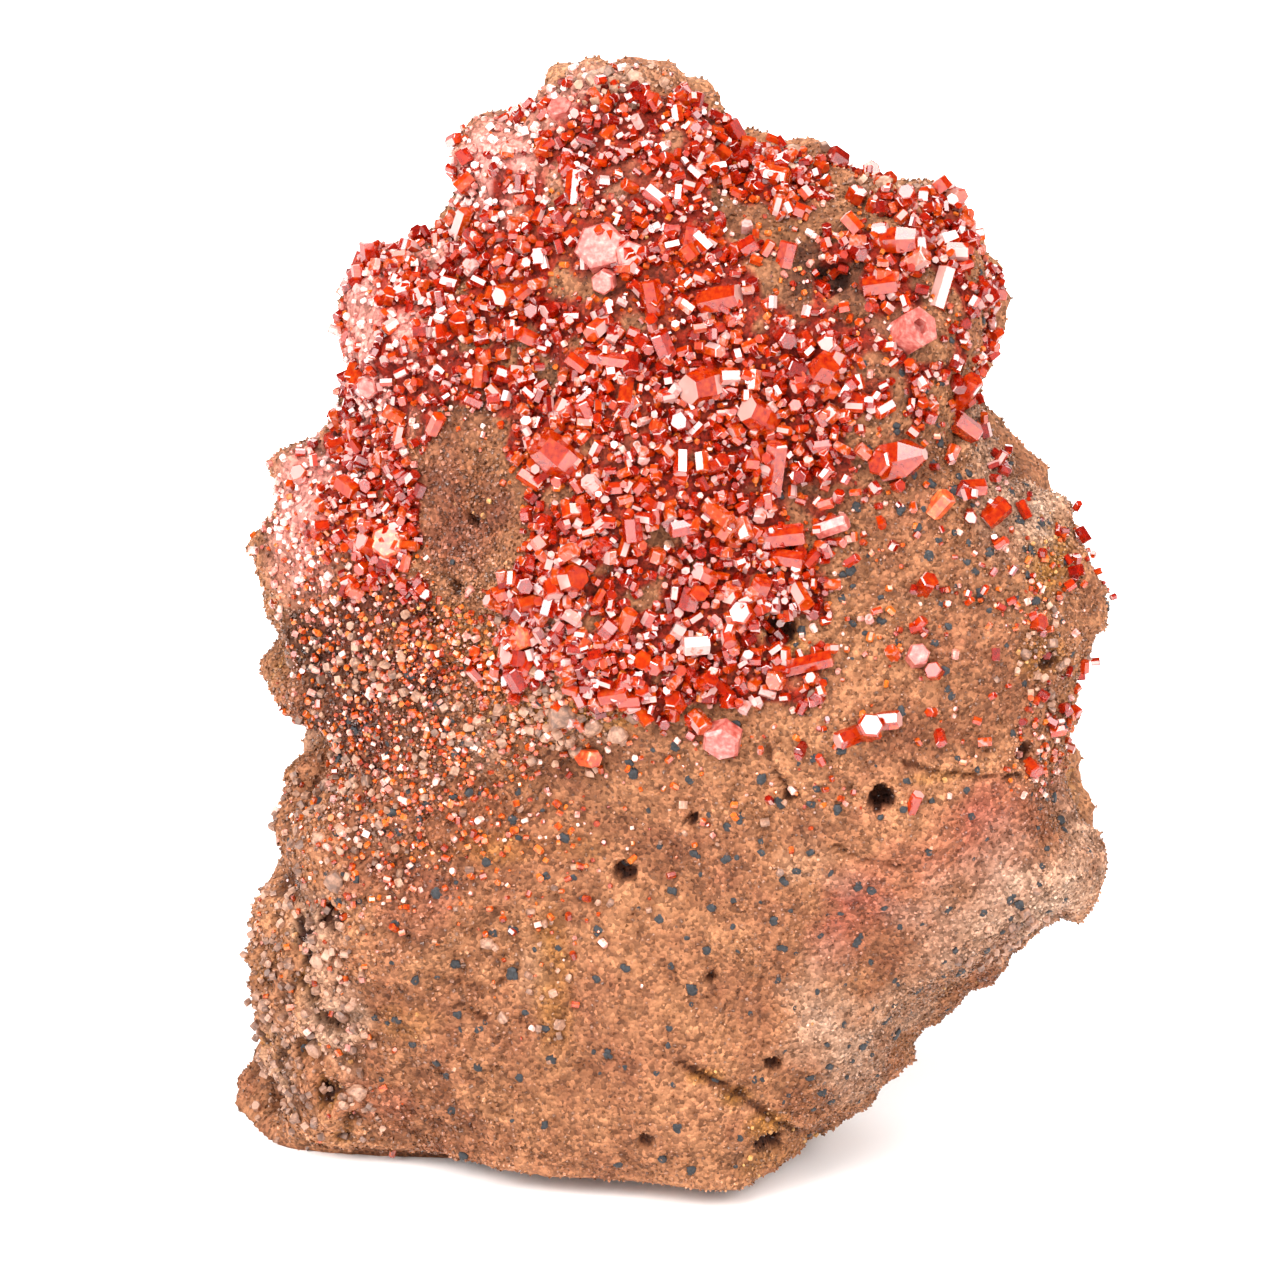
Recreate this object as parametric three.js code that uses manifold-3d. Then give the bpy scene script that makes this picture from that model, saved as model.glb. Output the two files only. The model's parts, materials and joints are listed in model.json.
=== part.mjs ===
// Vanadinite on matrix: a broken piece of brown, sandy vein rock. Its front face carries red hexagonal
// crystals, and it stands on a small flat break. Millimetres, +Z up, the crystal face towards -Y, origin
// under the middle of the bounding box.
import * as THREE from 'three';
import { mergeVertices } from 'three/addons/utils/BufferGeometryUtils.js';
import Module from 'manifold-3d';

const wasm = await Module();
wasm.setup();

// ---- driving dimensions, mm ----
// The rock's rim as seen from the front, [x, z], anticlockwise from the foot's right tip. The rock's own
// frame has z = 0 on the floor. Points below the floor belong to the stretch that the flat break cuts off.
const RIM = [
  [9.8, 0.3], [15.2, 4.9], [19.3, 8.2], [20.6, 10.9], [23.8, 14.6], [25.5, 17.2], [28.4, 20.2],
  [32.2, 22.6], [34, 25.5], [32.7, 29.2], [31, 36], [32.8, 42], [33, 46.5], [31.4, 51], [30.2, 53.7],
  [26.6, 57], [24.3, 61], [25, 67], [24.4, 70.4], [22.8, 72.8], [19, 76.2], [12, 78.4], [9.8, 79.2],
  [5, 79.4], [4.8, 81.8], [-0.6, 83.4], [-4.3, 83.9], [-8.2, 82.4], [-11, 80], [-13.4, 76.4],
  [-15.8, 72.8], [-21.2, 70.4], [-22.8, 65.6], [-22.2, 61], [-23.6, 56.6], [-28.4, 53.2], [-30.7, 44.4],
  [-30.6, 36], [-26.8, 33.6], [-27.4, 26.8], [-28.5, 23.8], [-28.8, 21.7], [-33, 18.4], [-32.7, 9.7],
  [-34, 2.5], [-34, -5], [-12, -6.5], [6.5, -5.5],
];
const RIM_CENTRE = 42;        // height of the point, at x = 0, that the rim is drawn around
const FRONT_MIDDLE = -7.6;    // y of the front face at x = 0, between the foot and the leaning top
const FRONT_TURN = -0.13;     // slope of the front face in y per x: its right side comes forward
const FRONT_BOW = 0.005;      // curve across the front face, per mm
const LEAN_START = 30;        // height above which the front face leans back
const LEAN_BOW = 0.0035;      // curve of that lean, per mm
const FOOT_START = 20;        // height below which the front face runs back under
const FOOT_BOW = 0.0028;      // curve of that undercut, per mm
const BACK_MIDDLE = 23;       // y of the back face at x = 0
const BACK_TURN = -0.1;       // slope of the back face in y per x
const BACK_BOW = 0.0016;      // curve of the back face above LEAN_START, per mm
const FLAT_CELLS = 0.62;      // share of a grid that covers a face, the rest of it covers the shoulder
const SHOULDER = 0.12;        // width of the shoulder as a share of the rim's distance from its centre,
const SHOULDER_LEFT = 0.2;    // how much wider it is at the left edge
const SHOULDER_TOP = 0.12;    // and at the top
const RIM_DEPTH = 0.3;        // place of the rim between the front face (0) and the back face (1),
const RIM_DEPTH_LEFT = 0.25;  // how much further back it is at the left edge
const RIM_DEPTH_TOP = 0.05;   // and at the top
const FOOT_MIDDLE = [-10, 5]; // x and y of the middle of the flat break
const DRAW_IN = 0.06;         // share by which a point is drawn towards it per mm below the floor
const GRID = 30;              // cells along one side of the front grid and of the back grid

// Swells (+) and hollows (-) of the front face: [x, z, reach in x, reach in z, height].
const SWELLS = [
  [-13.8, 54, 5, 7, -1.3],      // bare hollow beside the thickest crystals
  [0.8, 58.9, 15, 16, 1.5],     // rise under the thickest crystals
  [-2.1, 41.6, 9, 4, 0.9],      // ledge at the foot of that rise
  [20.4, 26.8, 9, 8, 0.9],      // smooth stained boss at the lower right
  [-18.6, 28.9, 6, 14, 0.8],    // rib down the left side
  [-25.5, 13.3, 3, 12, -0.9],   // groove behind the lower left ridge
  [6.7, 11.2, 6, 3, -0.7],      // seam above the foot's right tip
  [11.6, 71.5, 4, 3, -1.2],     // hollow under the upper right edge
  [-15.7, 68.6, 6, 6, 0.8],     // thick druse at the upper left
];

// Long, low undulation of the whole surface: a sum of plane waves in evenly spread directions.
const WAVE_COUNT = 6;
const LONGEST_WAVE = 30;
const WAVE_HEIGHT = 0.7;
const WAVE_SHRINK = 0.8;      // length and height of each wave relative to the one before

// Open pits in the front face: [x, z, radius, depth].
const PITS = [
  [16.6, 34.7, 1.1, 1.8],
  [-2.1, 27.1, 1, 1],
  [2.9, 32.1, 0.6, 0.8],
  [9.1, 46.7, 1.3, 1.5],
  [9.1, 12.6, 0.7, 0.9],
  [-24.6, 22.2, 1.3, 1.4],
];

const SEAT_GAP = 0.3;         // clearance between a crystal and the socket it sits in
const SUNK_SHARE = 0.38;      // share of a crystal's height that is inside the rock
const CRYSTAL_SIDES = 6;
const WORN_EDGE = 0.16;       // bevel of a crystal's upper edge against its radius
const BARREL_END = 0.8;       // radius of a barrel's ends against its middle
const SPIRE_SHOULDER = 0.1;   // where a spire starts to narrow, against half its length
const SPIRE_TIP = 0.3;        // radius of a spire's end against its foot
const HOLLOW_MOUTH = 0.6;     // radius of a hopper's hollow at the crystal's end and inside,
const HOLLOW_FOOT = 0.35;     // against the crystal's radius
const HOLLOW_MIDDLE = 0.7;    // height of the hollow's middle above the crystal's, against its length

// The largest crystals. x and z place the seat on the front face, lean is the angle between the crystal's
// long axis and the face's outward normal, and heading is where it leans to: 0 up, 90 to the right.
// Crystals of one name have grown together and are one solid.
const CRYSTALS = [
  // name, form, x, z, radius, length, lean, heading, spin about the long axis
  ['crown_plate', 'plate', -6.7, 81.8, 0.95, 1, 12, 40, 10],
  ['upper_blade', 'prism', -5.8, 76.7, 0.55, 2.7, 78, 8, 0],
  ['rose_plates', 'plate', -3.7, 72.9, 1.9, 1.5, 8, 330, 5],
  ['rose_plates', 'plate', -1.7, 72.4, 1.1, 1.4, 25, 100, 20],
  ['rose_plates', 'prism', -3.4, 70.7, 0.9, 1.8, 30, 190, 0],
  ['crossed_blades', 'prism', -3.4, 65.6, 0.6, 4.6, 84, 104, 0],
  ['crossed_blades', 'prism', -1.8, 64.1, 0.55, 3.4, 70, 186, 15],
  ['great_barrel', 'barrel', -6.7, 58.7, 1.5, 3.4, 52, 312, 0],
  ['right_barrel', 'barrel', 17.5, 73.6, 1.1, 2.8, 66, 96, 10],
  ['hopper', 'hopper', 18.3, 67.7, 1.5, 2.4, 24, 60, 25],
  ['hopper_side', 'prism', 20.6, 70.3, 0.7, 3.2, 74, 12, 0],
  ['rose_spire', 'spire', 17.9, 58.9, 1.5, 3.4, 58, 78, 0],
  ['rose_spire', 'prism', 16.6, 58.5, 1, 2.2, 40, 280, 12],
  ['low_triplet_left', 'prism', 20.5, 55.6, 0.75, 1.9, 55, 30, 0],
  ['low_triplet_middle', 'prism', 22.9, 56.2, 0.7, 1.9, 60, 80, 8],
  ['low_triplet_right', 'prism', 24.6, 54.3, 0.8, 2.2, 62, 40, 15],
  ['column_upper', 'prism', 22.2, 63.2, 0.75, 3, 66, 4, 0],
  ['column_lower', 'prism', 22.3, 60.3, 0.8, 2.4, 50, 150, 20],
  ['rosy_lath', 'prism', 12.9, 54, 0.65, 2.4, 74, 70, 0],
  ['bright_prism', 'prism', 19.6, 49.8, 0.7, 1.9, 42, 20, 0],
  ['pale_stub', 'prism', 19, 44.8, 0.85, 1.7, 16, 30, 6],
  ['orange_plate', 'plate', -19.4, 51, 1.35, 1.1, 14, 60, 14],
  ['tongue_plate', 'plate', -9.4, 46, 1.15, 1.3, 26, 280, 0],
  ['foot_plate', 'plate', 5.1, 38.6, 1.5, 1.5, 22, 190, 0],
  ['chunk_prism', 'prism', -4.6, 36.5, 0.7, 1.8, 58, 60, 0],
  ['long_lath', 'prism', 10.8, 44.3, 0.7, 4.4, 82, 76, 0],
  ['rosette', 'prism', 15.4, 39.9, 0.95, 2.1, 20, 0, 0],
  ['rosette', 'prism', 16.8, 40.4, 0.7, 2, 55, 80, 10],
  ['rosette', 'prism', 14.1, 39.4, 0.7, 2, 60, 250, 20],
  ['pit_lath', 'prism', 18.8, 34.2, 0.5, 2.2, 58, 14, 0],
  ['east_plates', 'plate', 27.8, 46.7, 0.65, 1.1, 20, 20, 0],
  ['south_east_stub', 'prism', 27.6, 36, 0.6, 1.3, 28, 200, 0],
  ['orange_column', 'prism', 8.7, 58.3, 0.85, 4.2, 78, 6, 0],
  ['deep_barrel', 'barrel', 3.7, 64, 1.4, 3.2, 54, 250, 0],
  ['mirror_prism', 'prism', 0, 69.7, 0.8, 2.6, 62, 352, 12],
  ['east_barrel', 'barrel', 7.6, 61.9, 1.2, 2.6, 48, 300, 0],
  ['ridge_barrel', 'barrel', 12.1, 65.3, 1.25, 2.6, 44, 30, 0],
  ['hollow_prism', 'prism', 16.1, 70.8, 0.8, 2.4, 70, 84, 0],
  ['lying_barrel', 'barrel', 4.8, 70, 1.05, 3, 72, 80, 0],
  ['tongue_cluster', 'prism', 6.6, 47.9, 0.95, 2.2, 30, 300, 0],
  ['tongue_cluster', 'prism', 7.5, 49.4, 0.8, 2.6, 60, 20, 10],
  ['tongue_cluster', 'plate', 5.8, 49.5, 0.85, 1.6, 35, 250, 20],
  ['orange_stack', 'prism', 9.2, 53.2, 0.9, 3.4, 76, 84, 0],
  ['orange_stack', 'prism', 9.6, 51.7, 0.7, 2.6, 66, 100, 10],
  ['tongue_barrel', 'barrel', -5.9, 50.5, 1.1, 2.6, 40, 60, 0],
  ['west_plate', 'plate', -18.2, 68.7, 0.85, 1.1, 18, 0, 0],
  ['west_rose', 'plate', -20.8, 62, 0.85, 1, 22, 90, 20],
  ['notch_plate', 'plate', 3.2, 80.4, 0.8, 1, 30, 50, 0],
  ['window_prism', 'prism', 9.5, 72.8, 0.7, 1.9, 56, 12, 0],
  ['shoulder_barrel', 'barrel', 20.9, 73, 0.85, 2, 40, 60, 0],
  ['white_plate', 'plate', 14.7, 76.3, 0.75, 1, 16, 80, 0],
  ['tall_mirror', 'prism', 2.7, 73.4, 0.65, 2.6, 66, 12, 15],
  ['sloping_lath', 'prism', 14.9, 63.2, 0.55, 2.9, 80, 112, 0],
].map(([name, form, x, z, radius, length, lean, heading, spin]) => (
  { name, form, x, z, radius, length, lean, heading, spin }
));

// ---- the rock's form ----

// Distance from the rim's centre to the rim along the direction at an angle: the direction's line is
// crossed with the straight stretch of rim that spans it.
const FULL_TURN = 2 * Math.PI;
const rimAngles = RIM.map(([x, z]) => (Math.atan2(z - RIM_CENTRE, x) + FULL_TURN) % FULL_TURN);

function rimRadius(angle) {
  for (let i = 0; i < RIM.length; i += 1) {
    const next = (i + 1) % RIM.length;
    const span = (rimAngles[next] - rimAngles[i] + FULL_TURN) % FULL_TURN;
    const passed = (angle - rimAngles[i] + FULL_TURN) % FULL_TURN;
    if (passed <= span) {
      const [ax, az] = [RIM[i][0], RIM[i][1] - RIM_CENTRE];
      const [dx, dz] = [RIM[next][0] - RIM[i][0], RIM[next][1] - RIM[i][1]];
      return (ax * dz - az * dx) / (Math.cos(angle) * dz - Math.sin(angle) * dx);
    }
  }
  throw new Error(`no stretch of rim at angle ${angle}`);
}

function frontY(x, z) {
  const lean = LEAN_BOW * Math.max(z - LEAN_START, 0) ** 2;
  const undercut = FOOT_BOW * Math.max(FOOT_START - z, 0) ** 2;
  let y = FRONT_MIDDLE + FRONT_TURN * x + FRONT_BOW * x * x + lean + undercut;
  for (const [sx, sz, reachX, reachZ, height] of SWELLS) {
    y -= height * Math.exp(-(((x - sx) / reachX) ** 2) - ((z - sz) / reachZ) ** 2);
  }
  return y;
}

function backY(x, z) {
  return BACK_MIDDLE + BACK_TURN * x - BACK_BOW * Math.max(z - LEAN_START, 0) ** 2;
}

// Height of the undulation at a point: each wave runs along one direction of a spiral around the sphere.
function undulation(point) {
  const goldenAngle = Math.PI * (3 - Math.sqrt(5));
  let sum = 0;
  for (let i = 0; i < WAVE_COUNT; i += 1) {
    const up = 1 - (2 * i + 1) / WAVE_COUNT;
    const level = Math.sqrt(1 - up * up);
    const turn = i * goldenAngle;
    const along = level * (point.x * Math.cos(turn) + point.y * Math.sin(turn)) + up * point.z;
    const shrink = WAVE_SHRINK ** i;
    sum += WAVE_HEIGHT * shrink * Math.sin((FULL_TURN * along) / (LONGEST_WAVE * shrink) + i);
  }
  return sum;
}

// One point of the rock before undulation. u and v run from -1 to 1 over a square that is drawn out to the
// rim. side is -1 on the front and 1 on the back. A face stays at full depth out to its shoulder, which
// then turns to the rim in a quarter ellipse.
function rockPoint(u, v, side) {
  const across = u * Math.sqrt(1 - (v * v) / 2);
  const upward = v * Math.sqrt(1 - (u * u) / 2);
  const outward = Math.min(Math.hypot(across, upward), 1);
  const angle = Math.atan2(upward, across);
  const leftness = (1 - Math.cos(angle)) / 2;
  const topness = (1 + Math.sin(angle)) / 2;
  const shoulder = SHOULDER + SHOULDER_LEFT * leftness + SHOULDER_TOP * topness;
  const turn = (Math.max(outward - FLAT_CELLS, 0) / (1 - FLAT_CELLS)) * (Math.PI / 2);
  const reach = outward < FLAT_CELLS
    ? (outward / FLAT_CELLS) * (1 - shoulder)
    : 1 - shoulder + shoulder * Math.sin(turn);
  const radius = rimRadius((angle + FULL_TURN) % FULL_TURN) * reach;
  const x = radius * Math.cos(angle);
  const z = RIM_CENTRE + radius * Math.sin(angle);
  const [front, back] = [frontY(x, z), backY(x, z)];
  const rimShare = RIM_DEPTH + RIM_DEPTH_LEFT * leftness + RIM_DEPTH_TOP * topness;
  const rim = front + rimShare * (back - front);
  const face = side < 0 ? front : back;
  return new THREE.Vector3(x, rim + (face - rim) * Math.cos(turn), z);
}

// Cuts the rock off level with the floor. What lies below is drawn in towards the middle of the foot before
// it is lifted to the floor, so that the flat break ends where the walls meet it.
function cutLevel(point) {
  const keep = 1 - DRAW_IN * Math.max(-point.z, 0);
  const [middleX, middleY] = FOOT_MIDDLE;
  const x = middleX + (point.x - middleX) * keep;
  const y = middleY + (point.y - middleY) * keep;
  return [x, y, Math.max(point.z, 0)];
}

// The front and back grids joined along the rim. Each cell is cut along the diagonal that points away from
// the middle of its grid, which keeps the cells near the four corners from folding.
function rockGeometry() {
  const positions = [];
  const triangles = [];
  for (const side of [-1, 1]) {
    const first = positions.length / 3;
    for (let row = 0; row <= GRID; row += 1) {
      for (let column = 0; column <= GRID; column += 1) {
        const point = rockPoint((2 * column) / GRID - 1, (2 * row) / GRID - 1, side);
        positions.push(point.x, point.y, point.z);
      }
    }
    for (let row = 0; row < GRID; row += 1) {
      for (let column = 0; column < GRID; column += 1) {
        const a = first + row * (GRID + 1) + column;
        const [b, c, d] = [a + 1, a + GRID + 2, a + GRID + 1];
        const outward = (2 * row + 1 - GRID) * (2 * column + 1 - GRID) > 0;
        const corners = outward ? [a, b, c, a, c, d] : [a, b, d, b, c, d];
        triangles.push(...(side < 0 ? corners : corners.reverse()));
      }
    }
  }
  const geometry = new THREE.BufferGeometry();
  geometry.setAttribute('position', new THREE.Float32BufferAttribute(positions, 3));
  geometry.setIndex(triangles);
  const closed = mergeVertices(geometry, 1e-3);
  closed.computeVertexNormals();
  const place = closed.getAttribute('position');
  const normal = closed.getAttribute('normal');
  const point = new THREE.Vector3();
  const outward = new THREE.Vector3();
  for (let i = 0; i < place.count; i += 1) {
    point.fromBufferAttribute(place, i);
    outward.fromBufferAttribute(normal, i);
    point.addScaledVector(outward, undulation(point));
    place.setXYZ(i, ...cutLevel(point));
  }
  return closed;
}

// ---- solids ----

function toSolid(geometry) {
  const bare = geometry.clone();
  bare.deleteAttribute('normal');
  bare.deleteAttribute('uv');
  const merged = mergeVertices(bare, 1e-4);
  return new wasm.Manifold(new wasm.Mesh({
    numProp: 3,
    vertProperties: new Float32Array(merged.getAttribute('position').array),
    triVerts: new Uint32Array(merged.getIndex().array),
  }));
}

function toGeometry(manifold) {
  const { vertProperties, triVerts } = manifold.getMesh();
  const geometry = new THREE.BufferGeometry();
  geometry.setAttribute('position', new THREE.Float32BufferAttribute(vertProperties, 3));
  geometry.setIndex(Array.from(triVerts));
  geometry.computeVertexNormals();
  return geometry;
}

// Half-section of a crystal, from the middle of its lower end to the middle of its upper end.
function crystalProfile(form, radius, length) {
  const half = length / 2;
  const worn = WORN_EDGE * radius;
  const end = BARREL_END * radius;
  const edge = SPIRE_SHOULDER * half;
  const profiles = {
    plate: [[0, -half], [radius, -half], [radius, half - worn], [radius - worn, half], [0, half]],
    prism: [[0, -half], [radius, -half], [radius, half - worn], [radius - worn, half], [0, half]],
    hopper: [[0, -half], [radius, -half], [radius, half], [0, half]],
    barrel: [[0, -half], [end, -half], [radius, 0], [end, half], [0, half]],
    spire: [[0, -half], [radius, -half], [radius, edge], [SPIRE_TIP * radius, half], [0, half]],
  };
  return profiles[form].map(([across, along]) => new THREE.Vector2(across, along));
}

// The crystal as a placed solid. grow widens it all round, which makes the cutter for its socket.
function crystalSolid(crystal, seat, grow) {
  const { form, radius, length, lean, heading, spin } = crystal;
  const shape = new THREE.LatheGeometry(
    crystalProfile(form, radius + grow, length + 2 * grow),
    CRYSTAL_SIDES,
    THREE.MathUtils.degToRad(spin),
  );
  if (form === 'hopper' && grow === 0) {
    return placeSolid(hollowed(shape, radius, length), seat, lean, heading, radius, length);
  }
  return placeSolid(toSolid(shape), seat, lean, heading, radius, length);
}

// A hopper crystal grew faster at its edges, so its end holds a hexagonal hollow.
function hollowed(shape, radius, length) {
  const [mouth, foot] = [HOLLOW_MOUTH * radius, HOLLOW_FOOT * radius];
  const hollow = new THREE.CylinderGeometry(mouth, foot, length, CRYSTAL_SIDES);
  hollow.rotateY(Math.PI / CRYSTAL_SIDES);
  hollow.translate(0, HOLLOW_MIDDLE * length, 0);
  return toSolid(shape).subtract(toSolid(hollow));
}

// Turns a solid's long axis from Y to the direction that lean and heading give, then sinks it in its seat.
function placeSolid(solid, seat, lean, heading, radius, length) {
  const tilt = THREE.MathUtils.degToRad(lean);
  const compass = THREE.MathUtils.degToRad(heading);
  const right = new THREE.Vector3(1, 0, 0).addScaledVector(seat.normal, -seat.normal.x).normalize();
  const upward = new THREE.Vector3().crossVectors(right, seat.normal).negate();
  upward.multiplyScalar(Math.sign(upward.z));
  const axis = seat.normal.clone().multiplyScalar(Math.cos(tilt))
    .addScaledVector(upward, Math.sin(tilt) * Math.cos(compass))
    .addScaledVector(right, Math.sin(tilt) * Math.sin(compass));
  const halfHeight = (Math.cos(tilt) * length) / 2 + Math.sin(tilt) * radius;
  const centre = seat.point.clone().addScaledVector(seat.normal, (1 - 2 * SUNK_SHARE) * halfHeight);
  const turn = new THREE.Quaternion().setFromUnitVectors(new THREE.Vector3(0, 1, 0), axis);
  const matrix = new THREE.Matrix4().compose(centre, turn, new THREE.Vector3(1, 1, 1));
  return solid.transform(matrix.toArray());
}

// ---- assembly ----

const stone = new THREE.MeshStandardMaterial({ color: 0x9b6a4c, roughness: 0.9, metalness: 0 });
const vanadinite = new THREE.MeshStandardMaterial({ color: 0xc23418, roughness: 0.15, metalness: 0 });

const rock = rockGeometry();
const rockMesh = new THREE.Mesh(rock, stone);
rockMesh.updateMatrixWorld();
const ray = new THREE.Raycaster();
const BACKWARD = new THREE.Vector3(0, 1, 0);
const AHEAD_OF_ROCK = -60;

// Where a line running straight back at x, z meets the front face, with the face's outward normal there.
function seatAt(x, z) {
  ray.set(new THREE.Vector3(x, AHEAD_OF_ROCK, z), BACKWARD);
  const [hit] = ray.intersectObject(rockMesh);
  return { point: hit.point, normal: hit.face.normal.clone().normalize() };
}

let matrixSolid = toSolid(rock);
for (const [x, z, radius, depth] of PITS) {
  const pit = new THREE.SphereGeometry(1, 8, 6);
  pit.scale(radius, depth, radius);
  const mouth = seatAt(x, z).point;
  pit.translate(mouth.x, mouth.y, mouth.z);
  matrixSolid = matrixSolid.subtract(toSolid(pit));
}

const crystalSolids = new Map();
for (const crystal of CRYSTALS) {
  const seat = seatAt(crystal.x, crystal.z);
  const whole = crystalSolid(crystal, seat, 0);
  const joined = crystalSolids.get(crystal.name);
  crystalSolids.set(crystal.name, joined ? joined.add(whole) : whole);
  matrixSolid = matrixSolid.subtract(crystalSolid(crystal, seat, SEAT_GAP));
}

const specimen = new THREE.Group();

function addPiece(name, manifold, material) {
  const piece = new THREE.Mesh(toGeometry(manifold), material);
  piece.name = name;
  specimen.add(piece);
}

addPiece('matrix', matrixSolid, stone);
for (const [name, solid] of crystalSolids) {
  addPiece(name, solid, vanadinite);
}

// The origin goes under the middle of the whole specimen.
const box = new THREE.Box3().setFromObject(specimen);
const middle = box.getCenter(new THREE.Vector3());
specimen.position.set(-middle.x, -middle.y, -box.min.z);

export default specimen;
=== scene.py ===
# %% [markdown]
# # Vanadinite on matrix
# The specimen is a broken piece of brown vein rock, about 85 mm tall, that stands on a flat break. Red
# hexagonal crystals of vanadinite grew over the upper part of its front face. This lesson builds its looks
# around the solid model: the rock's skin, thousands of small crystals, sandy grains, oxide dots and crusts.
#
# The first cell loads the solid model, which fixes where everything is. All form is worked out in
# millimetres in the rock's own drawing frame, and moved to the model's frame in metres at the very end.

# %% load the frame
import json
import math

import bpy
import numpy as np
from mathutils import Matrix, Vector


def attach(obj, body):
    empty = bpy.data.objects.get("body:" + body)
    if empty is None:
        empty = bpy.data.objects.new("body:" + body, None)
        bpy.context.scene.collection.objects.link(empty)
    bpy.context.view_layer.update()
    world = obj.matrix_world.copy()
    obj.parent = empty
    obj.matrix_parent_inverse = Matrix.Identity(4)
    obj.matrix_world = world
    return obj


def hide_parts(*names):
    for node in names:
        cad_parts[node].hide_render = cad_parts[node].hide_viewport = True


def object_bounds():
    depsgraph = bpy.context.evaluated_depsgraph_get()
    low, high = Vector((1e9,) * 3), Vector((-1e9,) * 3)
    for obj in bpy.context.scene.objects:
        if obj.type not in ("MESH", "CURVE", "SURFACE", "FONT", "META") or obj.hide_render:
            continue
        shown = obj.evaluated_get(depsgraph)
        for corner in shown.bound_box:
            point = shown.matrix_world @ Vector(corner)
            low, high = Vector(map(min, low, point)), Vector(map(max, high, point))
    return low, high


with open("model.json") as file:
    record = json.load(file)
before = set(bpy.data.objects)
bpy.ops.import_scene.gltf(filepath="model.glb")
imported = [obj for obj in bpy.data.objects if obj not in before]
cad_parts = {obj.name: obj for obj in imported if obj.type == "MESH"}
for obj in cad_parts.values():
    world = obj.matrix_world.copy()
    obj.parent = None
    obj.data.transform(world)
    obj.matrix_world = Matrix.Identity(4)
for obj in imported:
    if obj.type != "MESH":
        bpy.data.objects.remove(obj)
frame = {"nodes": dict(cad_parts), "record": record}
cad_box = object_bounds()
MM = 0.001
BASE_POINT = np.array([-10.0, 5.0, 0.0])  # the base mount's place in the rock's drawing frame, mm
base_mount = next(m for m in frame["record"]["mounts"] if m["name"] == "base")
DRAWING_ORIGIN = np.array(base_mount["pos_m"]) - BASE_POINT * MM
print("drawing origin, m:", DRAWING_ORIGIN.round(5))

# %% [markdown]
# ## Camera, floor and light
# The specimen is seen from the front and a little above. A long lens keeps its edges parallel, as a close-up
# lens at arm's length does. The light is a white studio: a bright floor and surroundings with large soft
# boxes. Crystal faces are small mirrors, so what they reflect decides how they look: the boxes give white and
# pink glints, painted glints on some faces add more, and the darker gaps between the boxes leave the red of
# the crystal itself.

# %% camera
LENS_MM, SENSOR_MM = 100.0, 36.0
CAMERA_DISTANCE = 0.272                 # metres from the place aimed at
CAMERA_ELEVATION = math.radians(17.0)
AIM_X, AIM_SHARE = -0.0011, 0.483       # place aimed at: across, and up as a share of the height
low, high = (np.array(corner) for corner in cad_box)
AIM = np.array([AIM_X, 0.0, AIM_SHARE * (high[2] - low[2])])

camera_data = bpy.data.cameras.new("specimen_camera")
camera_data.lens = LENS_MM
camera_data.sensor_width = SENSOR_MM
camera_data.clip_start = 0.01
camera = bpy.data.objects.new("specimen_camera", camera_data)
bpy.context.scene.collection.objects.link(camera)
away = np.array([0.0, -math.cos(CAMERA_ELEVATION), math.sin(CAMERA_ELEVATION)])
camera.location = AIM + away * CAMERA_DISTANCE
camera.rotation_euler = (math.pi / 2 - CAMERA_ELEVATION, 0.0, 0.0)
bpy.context.scene.camera = camera
bpy.context.scene.view_settings.view_transform = "Standard"

# %% node helper and colours


def linear(hex_colour):
    """An sRGB hex colour as linear red, green, blue and alpha: the sRGB curve undone for each channel."""
    channels = [int(hex_colour[i:i + 2], 16) / 255 for i in (1, 3, 5)]
    curved = [c / 12.92 if c <= 0.04045 else ((c + 0.055) / 1.055) ** 2.4 for c in channels]
    return (*curved, 1.0)


def add_node(tree, kind, links=None, inputs=None, **settings):
    """Adds a node to a tree, sets its properties and unlinked inputs, and links the others."""
    node = tree.nodes.new(kind)
    for name, value in settings.items():
        setattr(node, name, value)
    for name, value in (inputs or {}).items():
        node.inputs[name].default_value = value
    for name, source in (links or {}).items():
        tree.links.new(source, node.inputs[name])
    return node


def new_material(name):
    """An empty node material with its output node."""
    material = bpy.data.materials.new(name)
    material.use_nodes = True
    material.node_tree.nodes.clear()
    output = material.node_tree.nodes.new("ShaderNodeOutputMaterial")
    return material, material.node_tree, output


# %% [markdown]
# The floor is a sheet of white acrylic, lit from below further out, so that it stays white to the horizon.
# Near the specimen it hardly glows, and the soft shadow under the rock shows on it.

# %% floor
FLOOR_SIDE = 6.0
GLOW_START, GLOW_END = 0.05, 0.3        # metres from the specimen between which the floor starts to glow
NEAR_GLOW, FAR_GLOW = 0.05, 1.0
floor_mesh = bpy.data.meshes.new("floor")
half = FLOOR_SIDE / 2
floor_corners = [(-half, -half, 0), (half, -half, 0), (half, half, 0), (-half, half, 0)]
floor_mesh.from_pydata(floor_corners, [], [(0, 1, 2, 3)])
floor = bpy.data.objects.new("floor", floor_mesh)
bpy.context.scene.collection.objects.link(floor)
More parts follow.
